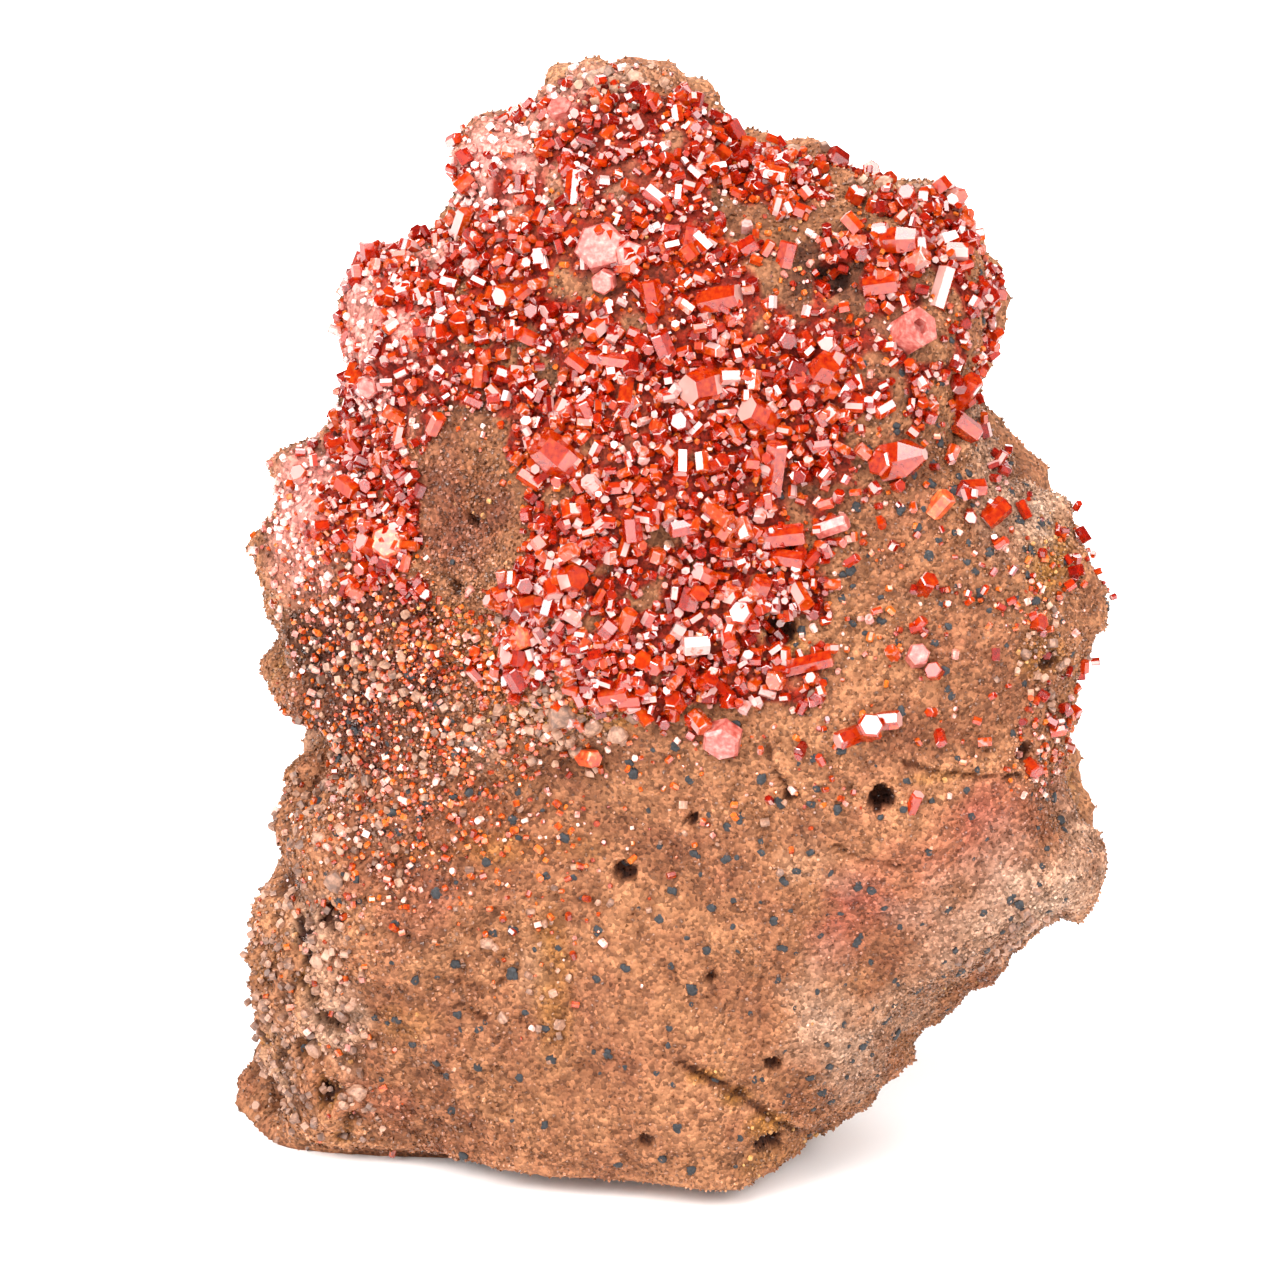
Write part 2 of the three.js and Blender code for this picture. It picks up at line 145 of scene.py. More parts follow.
# The acrylic gives the eye a plain, soft white with no edge to it.
floor_paint, floor_tree, floor_output = new_material("glowing_white_acrylic")
floor_place = add_node(floor_tree, "ShaderNodeTexCoord").outputs["Object"]
floor_distance = add_node(floor_tree, "ShaderNodeVectorMath", {0: floor_place}, operation="LENGTH")
floor_glow = add_node(
    floor_tree, "ShaderNodeMapRange", {"Value": floor_distance.outputs["Value"]},
    {"From Min": GLOW_START, "From Max": GLOW_END, "To Min": NEAR_GLOW, "To Max": FAR_GLOW})
acrylic = add_node(
    floor_tree, "ShaderNodeBsdfPrincipled", {"Emission Strength": floor_glow.outputs["Result"]},
    {"Base Color": linear("#F6F4F3"), "Roughness": 0.9, "Specular IOR Level": 0.2,
     "Emission Color": linear("#FFFFFF")})
floor_tree.links.new(acrylic.outputs[0], floor_output.inputs["Surface"])
floor_mesh.materials.append(floor_paint)
print("floor:", FLOOR_SIDE, "m wide")

# %% surroundings: white walls under a dim ceiling
WALL_GLOW, CEILING_GLOW = 1.0, 0.08
WALL_TOP, CEILING_EDGE = 0.18, 0.3      # sines of the elevations between which wall turns to ceiling
world = bpy.data.worlds.new("studio")
bpy.context.scene.world = world
world.use_nodes = True
sky = world.node_tree
direction = add_node(sky, "ShaderNodeTexCoord").outputs["Generated"]
upward = add_node(sky, "ShaderNodeSeparateXYZ", {0: direction}).outputs["Z"]
studio_glow = add_node(
    sky, "ShaderNodeMapRange", {"Value": upward},
    {"From Min": WALL_TOP, "From Max": CEILING_EDGE, "To Min": WALL_GLOW, "To Max": CEILING_GLOW})
sky.links.new(studio_glow.outputs["Result"], sky.nodes["Background"].inputs["Strength"])
sky.nodes["Background"].inputs["Color"].default_value = linear("#FFFFFF")

# %% soft boxes


def soft_box(name, azimuth, elevation, distance, width, height, power):
    """A rectangular area light that faces the middle of the specimen from a compass direction and height."""
    light_data = bpy.data.lights.new(name, "AREA")
    light_data.shape = "RECTANGLE"
    light_data.size, light_data.size_y = width, height
    light_data.energy = power
    light = bpy.data.objects.new(name, light_data)
    bpy.context.scene.collection.objects.link(light)
    a, e = math.radians(azimuth), math.radians(elevation)
    out = np.array([math.sin(a) * math.cos(e), -math.cos(a) * math.cos(e), math.sin(e)])
    light.location = AIM + out * distance
    light.rotation_euler = (math.pi / 2 - e, 0.0, a)
    return light


SOFT_BOXES = [
    # name, azimuth and elevation in degrees, distance, width and height in metres, power in watts
    ("overhead_box", 10, 72, 0.55, 0.34, 0.26, 2.6),
    ("front_left_box", -50, 30, 0.6, 0.34, 0.28, 3.8),
    ("front_right_box", 48, 34, 0.6, 0.26, 0.26, 2.6),
    ("front_fill", -8, 46, 0.8, 0.64, 0.4, 4.8),
    ("back_box", 180, 40, 0.7, 0.6, 0.4, 4.4),
]
for box in SOFT_BOXES:
    soft_box(*box)
print("soft boxes:", len(SOFT_BOXES))

# %% [markdown]
# ## The rock's form
# The rock is a slab. It could be a ball or a block that is pushed into shape, but a broken slab is known by
# its outline, so the outline is drawn first: its rim, seen from the front, is a list of corner points. Front
# and back faces are depths that depend on x and z, and a rounded shoulder leads from each face to the rim.
# One square grid is drawn out over the front and one over the back, so there is no pole, and the cells stay
# even. The values are those of the solid model, so the fine skin made here fits the solid rock.

# %% form of the rock, mm
RIM = np.array([
    (9.8, 0.3), (15.2, 4.9), (19.3, 8.2), (20.6, 10.9), (23.8, 14.6), (25.5, 17.2), (28.4, 20.2),
    (32.2, 22.6), (34, 25.5), (32.7, 29.2), (31, 36), (32.8, 42), (33, 46.5), (31.4, 51), (30.2, 53.7),
    (26.6, 57), (24.3, 61), (25, 67), (24.4, 70.4), (22.8, 72.8), (19, 76.2), (12, 78.4), (9.8, 79.2),
    (5, 79.4), (4.8, 81.8), (-0.6, 83.4), (-4.3, 83.9), (-8.2, 82.4), (-11, 80), (-13.4, 76.4),
    (-15.8, 72.8), (-21.2, 70.4), (-22.8, 65.6), (-22.2, 61), (-23.6, 56.6), (-28.4, 53.2), (-30.7, 44.4),
    (-30.6, 36), (-26.8, 33.6), (-27.4, 26.8), (-28.5, 23.8), (-28.8, 21.7), (-33, 18.4), (-32.7, 9.7),
    (-34, 2.5), (-34, -5), (-12, -6.5), (6.5, -5.5),
])
RIM_CENTRE = 42.0                       # height of the point, at x = 0, that the rim is drawn around
FRONT_MIDDLE, FRONT_TURN, FRONT_BOW = -7.6, -0.13, 0.005    # front face: y at x = 0, slope and curve in x
LEAN_START, LEAN_BOW = 30.0, 0.0035     # above this height the front leans back, with this curve
FOOT_START, FOOT_BOW = 20.0, 0.0028     # below this height it runs back under
BACK_MIDDLE, BACK_TURN, BACK_BOW = 23.0, -0.1, 0.0016       # the same three values for the back face
FLAT_CELLS = 0.62                       # share of a grid that covers a face, the rest covers the shoulder
SHOULDER, SHOULDER_LEFT, SHOULDER_TOP = 0.12, 0.2, 0.12     # width, and how much wider left and at the top
RIM_DEPTH, RIM_DEPTH_LEFT, RIM_DEPTH_TOP = 0.3, 0.25, 0.05  # place of the rim from front (0) to back (1)
DRAW_IN = 0.06                          # drawn towards the foot's middle by this share per mm below floor
CREASE_EASING = 10                      # rounds of easing that take the creases off the plain form
SWELLS = [
    # x, z, reach in x, reach in z, height, all in mm: broad bulges and hollows of the front
    (-13.8, 54, 5, 7, -1.3), (0.8, 58.9, 15, 16, 1.5), (-2.1, 41.6, 9, 4, 0.9), (20.4, 26.8, 9, 8, 0.9),
    (-18.6, 28.9, 6, 14, 0.8), (-25.5, 13.3, 3, 12, -0.9), (6.7, 11.2, 6, 3, -0.7), (11.6, 71.5, 4, 3, -1.2),
    (-15.7, 68.6, 6, 6, 0.8),
]
WAVE_COUNT, LONGEST_WAVE, WAVE_HEIGHT, WAVE_SHRINK = 6, 30.0, 0.7, 0.8    # low waves over the whole rock
FULL_TURN = 2 * math.pi
print("rock outline, mm:", np.ptp(RIM, axis=0))

# %% faces and rim as functions of place


def rim_radius(angle):
    """Distance from the rim's centre to the rim: the ray at each angle crossed with its stretch of rim."""
    corner_angle = np.arctan2(RIM[:, 1] - RIM_CENTRE, RIM[:, 0]) % FULL_TURN
    order = np.argsort(corner_angle)
    corners = RIM[order] - (0.0, RIM_CENTRE)
    stretch = np.searchsorted(corner_angle[order], angle % FULL_TURN, side="right") - 1
    start = corners[stretch]
    run = np.roll(corners, -1, axis=0)[stretch] - start
    cross = start[..., 0] * run[..., 1] - start[..., 1] * run[..., 0]
    return cross / (np.cos(angle) * run[..., 1] - np.sin(angle) * run[..., 0])


def front_y(x, z):
    """Depth of the front face: a turned and bowed plane that leans back above and runs under below."""
    lean = LEAN_BOW * np.maximum(z - LEAN_START, 0) ** 2
    undercut = FOOT_BOW * np.maximum(FOOT_START - z, 0) ** 2
    y = FRONT_MIDDLE + FRONT_TURN * x + FRONT_BOW * x * x + lean + undercut
    for swell_x, swell_z, reach_x, reach_z, height in SWELLS:
        y = y - height * np.exp(-(((x - swell_x) / reach_x) ** 2) - ((z - swell_z) / reach_z) ** 2)
    return y


def back_y(x, z):
    """Depth of the back face: a turned plane that comes forward towards the top."""
    return BACK_MIDDLE + BACK_TURN * x - BACK_BOW * np.maximum(z - LEAN_START, 0) ** 2


def undulation(points):
    """Long low waves: a sum of sines along directions that spiral round the sphere, each wave shorter."""
    golden_angle = math.pi * (3 - math.sqrt(5))
    total = np.zeros(len(points))
    for i in range(WAVE_COUNT):
        up = 1 - (2 * i + 1) / WAVE_COUNT
        level = math.sqrt(1 - up * up)
        direction = np.array([level * math.cos(i * golden_angle), level * math.sin(i * golden_angle), up])
        shrink = WAVE_SHRINK ** i
        total += WAVE_HEIGHT * shrink * np.sin(FULL_TURN * (points @ direction) / (LONGEST_WAVE * shrink) + i)
    return total


def rock_points(u, v, side):
    """Rock surface before undulation. The square (u, v) is drawn out to the rim; a face keeps its full depth
    out to its shoulder, which turns to the rim in a quarter ellipse. side is -1 in front and 1 behind."""
    across = u * np.sqrt(1 - v * v / 2)
    upward = v * np.sqrt(1 - u * u / 2)
    outward = np.minimum(np.hypot(across, upward), 1)
    angle = np.arctan2(upward, across)
    leftness = (1 - np.cos(angle)) / 2
    topness = (1 + np.sin(angle)) / 2
    shoulder = SHOULDER + SHOULDER_LEFT * leftness + SHOULDER_TOP * topness
    turn = np.maximum(outward - FLAT_CELLS, 0) / (1 - FLAT_CELLS) * (math.pi / 2)
    on_face = outward / FLAT_CELLS * (1 - shoulder)
    on_shoulder = 1 - shoulder + shoulder * np.sin(turn)
    radius = rim_radius(angle) * np.where(outward < FLAT_CELLS, on_face, on_shoulder)
    x = radius * np.cos(angle)
    z = RIM_CENTRE + radius * np.sin(angle)
    front, back = front_y(x, z), back_y(x, z)
    depth = RIM_DEPTH + RIM_DEPTH_LEFT * leftness + RIM_DEPTH_TOP * topness
    rim = front + depth * (back - front)
    face = front if side < 0 else back
    return np.stack([x, rim + (face - rim) * np.cos(turn), z], axis=-1)


print("front face depth at the middle, mm:", front_y(np.array(0.0), np.array(42.0)).round(2))

# %% [markdown]
# The front grid is twice as fine as the back grid, because the front holds the detail. Along the rim two
# front cells meet one back cell, so the back cells there have an extra corner on that side.

# %% the grids joined along the rim
FRONT_CELLS = 280
BACK_CELLS = FRONT_CELLS // 2


def grid_points(cells, side):
    """The corner points of a grid with the given number of cells along a side."""
    steps = np.linspace(-1, 1, cells + 1)
    u, v = np.meshgrid(steps, steps)
    return rock_points(u, v, side)


def joined_cells():
    """All cells as two tables: their four corners, and the extra corner after each of them or -1."""
    n, m = FRONT_CELLS, BACK_CELLS
    front = np.arange((n + 1) ** 2).reshape(n + 1, n + 1)
    front_corners = np.stack([front[:-1, :-1], front[:-1, 1:], front[1:, 1:], front[1:, :-1]], axis=-1)
    back = np.empty((m + 1, m + 1), dtype=int)
    back[1:-1, 1:-1] = (n + 1) ** 2 + np.arange((m - 1) ** 2).reshape(m - 1, m - 1)
    for edge in (0, -1):
        back[edge, :] = front[edge, ::2]
        back[:, edge] = front[::2, edge]
    back_corners = np.stack([back[1:, :-1], back[1:, 1:], back[:-1, 1:], back[:-1, :-1]], axis=-1)
    extras = np.full((m, m, 4), -1)
    extras[-1, :, 0] = front[-1, 1::2]
    extras[:, -1, 1] = front[1::2, -1]
    extras[0, :, 2] = front[0, 1::2]
    extras[:, 0, 3] = front[1::2, 0]
    corners = np.concatenate([front_corners.reshape(-1, 4), back_corners.reshape(-1, 4)])
    no_extras = np.full((n * n, 4), -1)
    return corners, np.concatenate([no_extras, extras.reshape(-1, 4)])


def unit(vectors):
    """Vectors scaled to length 1."""
    return vectors / np.maximum(np.linalg.norm(vectors, axis=-1, keepdims=True), 1e-12)


def vertex_normals(points, corners):
    """Each cell's normal is the cross product of its diagonals. They are summed at the cell's corners."""
    p = points[corners]
    normal = np.cross(p[:, 2] - p[:, 0], p[:, 3] - p[:, 1])
    total = np.stack(
        [np.bincount(corners.ravel(), np.repeat(normal[:, i], 4), len(points)) for i in range(3)], axis=1)
    return unit(total)


cell_corners, cell_extras = joined_cells()
front_part = grid_points(FRONT_CELLS, -1).reshape(-1, 3)
back_part = grid_points(BACK_CELLS, 1)[1:-1, 1:-1].reshape(-1, 3)
plain_rock = np.concatenate([front_part, back_part])


def eased(values, times):
    """Each corner takes the mean of the cells around it, several times over, which rounds off creases."""
    corner_count = np.bincount(cell_corners.ravel(), minlength=len(values))[:, None]
    for _ in range(times):
        middles = np.repeat(values[cell_corners].mean(axis=1), 4, axis=0)
        sums = [np.bincount(cell_corners.ravel(), middles[:, i], len(values)) for i in range(3)]
        values = np.stack(sums, axis=1) / corner_count
    return values


def cut_level(points):
    """Cuts the rock level with the floor. What lies below is drawn in towards the middle of the foot before
    it is lifted to the floor, so that the flat break ends where the walls meet it."""
    keep = 1 - DRAW_IN * np.maximum(-points[:, 2:], 0)
    level = BASE_POINT + (points - BASE_POINT) * keep
    level[:, 2] = np.maximum(points[:, 2], 0)
    return level


plain_normal = vertex_normals(plain_rock, cell_corners)
waved_rock = eased(plain_rock + plain_normal * undulation(plain_rock)[:, None], CREASE_EASING)
print("rock corners and cells:", len(waved_rock), len(cell_corners))

# %% [markdown]
# ## Roughness of the broken rock
# A real break is rough at every size. Smooth lattice noise is added in several sizes, each half as long and
# about half as high as the one before. A second kind of noise blends its lattice in straight lines, which
# leaves flat facets with creases between them, as a hammer leaves on hard rock. The flanks and the back
# are freshly broken, so they get more of the facets than the front. Displace modifiers could do this too.
# Worked out per corner, each part of the rock can have its own kind of break.

# %% noise
SLOPE_COUNT = 256
NOISE_GAIN = 1.6        # brings the noise to about -1 to 1


def lattice_noise(points, wavelength, seed, creased=False):
    """Random slopes at the corners of a cubic lattice, blended across each cube. The blend is a smooth curve,
    or a straight line when creased."""
    rng = np.random.default_rng(seed)
    table = rng.permutation(SLOPE_COUNT)
    slopes = rng.normal(size=(SLOPE_COUNT, 3))
    slopes /= np.linalg.norm(slopes, axis=1, keepdims=True)
    place = points / wavelength + rng.uniform(0, 64, 3)
    cube = np.floor(place).astype(int)
    inside = place - cube
    blend = inside if creased else inside ** 3 * (inside * (inside * 6 - 15) + 10)
    total = np.zeros(len(points))
    for corner in np.ndindex(2, 2, 2):
        key = table[(cube[:, 0] + corner[0]) % SLOPE_COUNT]
        key = table[(key + cube[:, 1] + corner[1]) % SLOPE_COUNT]
        key = table[(key + cube[:, 2] + corner[2]) % SLOPE_COUNT]
        weight = np.prod(np.where(corner, blend, 1 - blend), axis=1)
        total += weight * np.sum(slopes[key] * (inside - corner), axis=1)
    return total * NOISE_GAIN


def fractal_noise(points, wavelength, octaves, seed, gain=0.5):
    """Lattice noise summed over octaves: each is half as long, and gain times as high, as the one before."""
    return sum(
        gain ** i * lattice_noise(points, wavelength / 2 ** i, seed + i) for i in range(octaves))


# %% pits, cracks and seams of the front face, mm
PITS = [
    # x, z, radius, depth
    (16.6, 34.7, 1.15, 2.0), (-2.1, 27.1, 1.0, 1.1), (2.9, 32.1, 0.6, 0.9), (9.1, 46.7, 1.4, 1.6),
    (9.1, 12.6, 0.75, 1.0), (-24.6, 22.2, 1.5, 1.5), (4.3, 19.4, 0.55, 0.8), (-0.4, 6.3, 0.9, 0.7),
    (-11.6, 18.1, 0.4, 0.5), (27.2, 37.2, 0.9, 1.0), (-14.4, 48.5, 0.7, 0.7), (12.8, 71.5, 1.4, 1.2),
    (9, 5.5, 1.5, 1.2), (-13, 53.6, 0.6, 0.8), (9.8, 34.6, 0.7, 0.8), (28.7, 43.5, 0.9, 0.8),
]
CRACKS = [
    # points along the crack (x, z), width, depth
    ([(2.3, 12.7), (4.2, 11.6), (6.3, 10.3), (8.7, 8.2), (11, 5.8)], 0.5, 0.7),
    ([(18.2, 37.2), (20.9, 36.3), (23.7, 35.8), (26.8, 35.6)], 0.3, 0.5),
    ([(-19.4, 48), (-17.9, 46.7), (-16.1, 45.9)], 0.35, 0.5),
    ([(-23.1, 34.6), (-21.4, 34), (-19.5, 34.3)], 0.3, 0.4),
    ([(-15.1, 16.1), (-14, 15.9), (-12.6, 15)], 0.3, 0.4),
    ([(8.1, 38.1), (9, 36.2), (10, 34.4)], 0.35, 0.5),
    ([(13.1, 30.9), (14.7, 30.2), (16.6, 29.8), (18, 29.5)], 0.3, 0.35),
]


def distance_to_line(x, z, line):
    """Distance in the front view from each point to the nearest straight stretch of a line of points."""
    nearest = np.full(x.shape, np.inf)
    for (ax, az), (bx, bz) in zip(line, line[1:]):
        run_x, run_z = bx - ax, bz - az
        share = ((x - ax) * run_x + (z - az) * run_z) / (run_x ** 2 + run_z ** 2)
        share = share.clip(0, 1)
        nearest = np.minimum(nearest, np.hypot(x - ax - share * run_x, z - az - share * run_z))
    return nearest


def smooth_step(value, start, end):
    """0 below start, 1 above end, and a smooth rise between."""
    share = ((value - start) / (end - start)).clip(0, 1)
    return share * share * (3 - 2 * share)


# %% [markdown]
# ## Relief of the skin
# The flanks and the back broke along the vein's layers and across them. There they get ledges, each with a
# steep side and a long slope, and tall facets. The front is an old surface with a fine sandy growth, so it
# gets low facets, pits and cracks. Every corner of the mesh is lifted by a random grain height. The relief
# fades out at the floor, where the rock stands on a flat break.

# %% ledges
STEEP_SHARE = 0.14      # share of a ledge's run that is its steep side
LEDGE_BEND = 0.9        # how far noise bends the ledges, against their spacing


def ledges(points, direction, spacing, seed):
    """Ledges of a fresh break: a saw-tooth along a direction, bent by noise, with a steep side and a long
    slope, as where rock parts along its layers."""
    bend = LEDGE_BEND * lattice_noise(points, 1.3 * spacing, seed)
    run = points @ unit(np.array(direction)) / spacing + bend
    share = run - np.floor(run)
    return np.where(share < STEEP_SHARE, share / STEEP_SHARE, (1 - share) / (1 - STEEP_SHARE)) - 0.5


# %% patches
LOBES = [
    # swells (+) and grooves (-) that run back along the flanks: x, z, reach in x, reach in z, height
    (-29, 33, 4, 1.5, -0.6), (-29, 28, 5, 3, 1.7), (-30, 22.6, 4, 1.2, -0.9), (-33, 17, 4, 2.5, 0.3),
    (-34, 11.5, 4, 2, -0.9), (-35, 3.5, 7, 5, -2.2), (-12.8, 78.5, 3, 2.5, 1.5), (-31, 46, 4, 4, 0.5),
    (-30, 39.5, 4, 1.8, -0.6), (32, 44, 4, 3, 0.5), (32, 34, 4, 3, -0.6), (-24, 61, 4, 3, -0.6),
    (25, 62, 4, 3, -0.5), (12, 79, 4, 3, 0.5),
]
CRUST_PATCHES = [
    # x, z, reach in x, reach in z, strength
    (-27, 18, 3, 4, 1.0), (-25.5, 11, 2.5, 5, 1.0), (-24.5, 5, 2, 4, 0.9), (-31, 9, 3, 8, 0.9),
]


def patches(points, table):
    """A sum of soft-edged patches as seen from the front: strength * exp(-distance ** 3)."""
    total = np.zeros(len(points))
    for middle_x, middle_z, reach_x, reach_z, strength in table:
        square = ((points[:, 0] - middle_x) / reach_x) ** 2 + ((points[:, 2] - middle_z) / reach_z) ** 2
        total += strength * np.exp(-square ** 1.5)
    return total


# %% facets and ledges of the break
FRONT_FACETS, FLANK_FACETS = 0.25, 1.2              # height of the flat facets, mm
FACET_TURN = np.array([[0.8, 0.36, 0.48], [-0.6, 0.48, 0.64], [0, -0.8, 0.6]])  # takes them off the axes
FACET_SIZES = [(9.0, 1.0, 11), (4.1, 0.5, 12), (1.9, 0.35, 13)]     # size in mm, share of the height, seed
FRONT_ROUGHNESS, FLANK_ROUGHNESS = 0.22, 0.42       # height of the smooth roughness, mm
LEDGE_HEIGHT = 1.7
LAYER_LEDGES = ((0.3, 0.2, 1.0), 15.0, 14)          # direction across the ledges, spacing in mm, seed
CROSS_LEDGES, CROSS_SHARE = ((1.0, 0.2, -0.4), 9.0, 15), 0.7
SMALL_LEDGES, SMALL_SHARE = ((-0.7, 0.3, 1.0), 4.0, 16), 0.3
NORMAL_EASING = 12                                  # rounds of easing before normals are taken
x, y, z = waved_rock.T
normal = unit(eased(vertex_normals(waved_rock, cell_corners), NORMAL_EASING))
facing = smooth_step(-normal[:, 1], 0.2, 0.75)          # 1 on the front face, 0 on flanks and back
layered = smooth_step(lattice_noise(waved_rock, 17.0, 17), -0.25, 0.35)     # 1 where it broke along layers
tilted = waved_rock @ FACET_TURN
facets = sum(share * lattice_noise(tilted, size, seed, creased=True) for size, share, seed in FACET_SIZES)
fresh_break = layered * ledges(waved_rock, *LAYER_LEDGES)
fresh_break += CROSS_SHARE * (1 - layered) * ledges(waved_rock, *CROSS_LEDGES)
fresh_break += SMALL_SHARE * ledges(waved_rock, *SMALL_LEDGES)
rough = fractal_noise(waved_rock, 4.6, 4, 21, gain=0.6)
height = (FRONT_FACETS * facing + FLANK_FACETS * (1 - facing)) * facets
height += (FRONT_ROUGHNESS * facing + FLANK_ROUGHNESS * (1 - facing)) * rough
height += LEDGE_HEIGHT * (1 - facing) * fresh_break
print("facets and ledges, mm:", height.min().round(2), "to", height.max().round(2))

# %% bedding, crust and lumps
# Thin bedding steps low on the left, where the vein's layers come out.
BED_SPACING, BED_DIP, BED_BEND, BED_HEIGHT = 2.6, 0.22, 1.4, 0.05
bedding = np.sin(FULL_TURN * (z + BED_DIP * x + BED_BEND * lattice_noise(waved_rock, 6, 31)) / BED_SPACING)
in_beds = smooth_step(-x, 0, 14) * smooth_step(z, 8, 16) * (1 - smooth_step(z, 34, 42)) * facing
height += BED_HEIGHT * in_beds * bedding

# The lower left edge carries a lumpy crust.
CRUST_LIFT = 0.3
crust = patches(waved_rock, CRUST_PATCHES)
crust_lumps = 1.3 * lattice_noise(waved_rock, 2.6, 33) + 1.0 * lattice_noise(waved_rock, 1.3, 34)
height += crust * (crust_lumps + CRUST_LIFT)
height += patches(waved_rock, LOBES)

# Small lumps of two sizes, which the left side and the flanks have more of.
lumpiness = smooth_step(-x, -14, 16) + 0.3 * (1 - facing)
height += (0.04 + 0.09 * lumpiness) * lattice_noise(waved_rock, 1.7, 35)
height += (0.04 + 0.06 * lumpiness) * lattice_noise(waved_rock, 0.9, 36)
print("share of the surface that is crust:", (crust > 0.5).mean().round(3))

# %% pits and cracks with wavering outlines
PIT_WALL, CRACK_WALL = 0.45, 0.9            # share of a pit's or a crack's half width that its wall takes up
wobble = 0.25 * lattice_noise(waved_rock, 1.1, 41)
hollow = np.zeros(len(x))
for pit_x, pit_z, radius, depth in PITS:
    inside = 1 - (np.hypot(x - pit_x, z - pit_z) / radius - wobble)
    hollow = np.maximum(hollow, depth * smooth_step(inside, 0.0, PIT_WALL))
for line, width, depth in CRACKS:
    inside = 1 - (distance_to_line(x, z, line) / width - 2.4 * wobble)
    hollow = np.maximum(hollow, depth * smooth_step(inside, 0.0, CRACK_WALL))
behind_face = y - front_y(x, z)
on_front = 1 - smooth_step(behind_face, 5, 11)          # fades out around the rim
hollow *= on_front > 0.9
height -= hollow
print("deepest pit, mm:", hollow.max().round(2))

# %% grains, and the flat break at the foot
GRAIN_LIFT = 0.05
UNDERCUT, UNDERCUT_HEIGHT = 6.5, 2.2        # the front's lowest edge runs back under, which shades the floor
UNDERCUT_REACH = 11                         # from the foot's middle to where the undercut is full, mm
RAISED_EASING = 8
rng = np.random.default_rng(5)
height += GRAIN_LIFT * rng.normal(size=len(x))
height *= smooth_step(z, -2.5, 2.0)
rock = cut_level(waved_rock + normal * height[:, None])
foot = smooth_step(UNDERCUT_HEIGHT - rock[:, 2], 0, UNDERCUT_HEIGHT)
rock[:, 1] += UNDERCUT * foot * smooth_step(BASE_POINT[1] - rock[:, 1], 0, UNDERCUT_REACH)
skin_normal = vertex_normals(rock, cell_corners)
raised = np.sum((rock - eased(rock, RAISED_EASING)) * normal, axis=1)       # above or below its surroundings
print("relief, mm:", height.min().round(2), "to", height.max().round(2))

# %% [markdown]
# ## Where things grow
# Each growth follows a map of how much of the surface it covers: a sum of soft patches given by their middle,
# reach and strength. Bare patches have a negative strength. Noise draws the crystals together in clumps.

# %% where crystals grow
CRYSTAL_PATCHES = [
    # x, z, reach in x, reach in z, cover
    (-1.1, 80.9, 8.5, 6, 1.3), (-2.6, 72.9, 12, 8, 1.4), (-17.2, 69.6, 7, 7, 1.2), (-1.1, 63.8, 14, 9, 1.5),
    (-1.1, 52.1, 9, 9, 1.4), (2.3, 43.6, 7.5, 4, 1.0), (-20.2, 58.9, 5.5, 6, 1.0), (-20.6, 51.6, 5, 5, 0.8),
    (16.4, 74.3, 9, 4.5, 0.42), (14.5, 68.1, 8, 4.5, 0.42), (23.3, 70.5, 3.5, 7, 0.6),
    (10.1, 79.1, 7, 3, 0.45), (7.7, 60.4, 6, 5, 0.9), (15, 64.3, 4, 2.5, 0.6), (9.1, 51.6, 4, 4, 0.6),
    (-8.4, 46.6, 5.5, 4, 0.8),
    # bare patches
    (-13.4, 55, 3.4, 6.3, -2.4), (-1, 84.8, 7, 2.2, -1.4), (8.7, 81.5, 6, 1.7, -0.9),
    (17.4, 79.3, 7, 1.6, -0.7), (7.7, 73.4, 3.6, 2.6, -1.0), (-7, 77.7, 2.2, 1.6, -0.9),
    (12.8, 75.3, 2.6, 1.6, -0.6), (4.8, 76.2, 2.2, 2.4, -0.7), (20.8, 68.2, 1.6, 2, -0.8),
    (-10.7, 64.3, 2, 1.4, -1.0), (6.6, 65.7, 2.2, 1.4, -0.8), (10.6, 71.1, 3, 1.8, -0.7),
]
DRUSE_PATCHES = [
    (-20.6, 66.7, 4.5, 8, 1.3), (-26.9, 53, 4.5, 8, 1.0), (-11.8, 78.1, 3.5, 5, 1.1),
    (-17.7, 73.4, 5, 4, 1.2), (-6, 82.8, 4, 3, 0.5), (-2, 78, 8, 6, 0.4), (-22.5, 59.9, 4, 5, 0.8),
]
SPECK_PATCHES = [
    (-20, 33, 9, 8, 0.45), (-12, 27, 12, 6, 0.3), (-24, 24, 4, 8, 0.3), (-6, 31, 8, 4, 0.25),
    (-22.5, 49.1, 6, 5, 0.9), (-21.6, 43.1, 6, 5, 0.7), (-11.8, 44.1, 7, 4, 0.8), (-6, 39.1, 8, 4, 0.5),
    (-16.7, 35, 9, 5, 0.45), (-11.8, 27.9, 10, 5, 0.28), (-7.9, 20.6, 5, 6, 0.2),
    (-26.4, 16.4, 4, 9, 0.35), (28.2, 37, 3, 3, 0.5), (27.7, 49.1, 3, 3, 0.45), (12.5, 34, 2.5, 2, 0.4),
    (16.4, 68.6, 10, 9, 0.3), (-2.1, 64.8, 18, 22, 0.35),
    (13.5, 48.1, 9, 6, 0.12), (18.4, 41.1, 12, 9, 0.05), (2.8, 37, 8, 3, 0.3), (-21.6, 8, 4, 4, 0.2),
    (-13.2, 53.5, 3.5, 5.5, -0.45),
]

# %% cover of crystals, druse and specks
SPARSE_COVER = 0.05         # of lone crystals on the right side
FULL_COVER, BARE_BELOW = 1.15, 0.08
CLUMPING, THINNING = 1.1, 0.18      # what noise adds to the cover, and what is taken off it everywhere
DRUSE_CROWDING = 0.45       # share of the crystals that full druse takes the place of

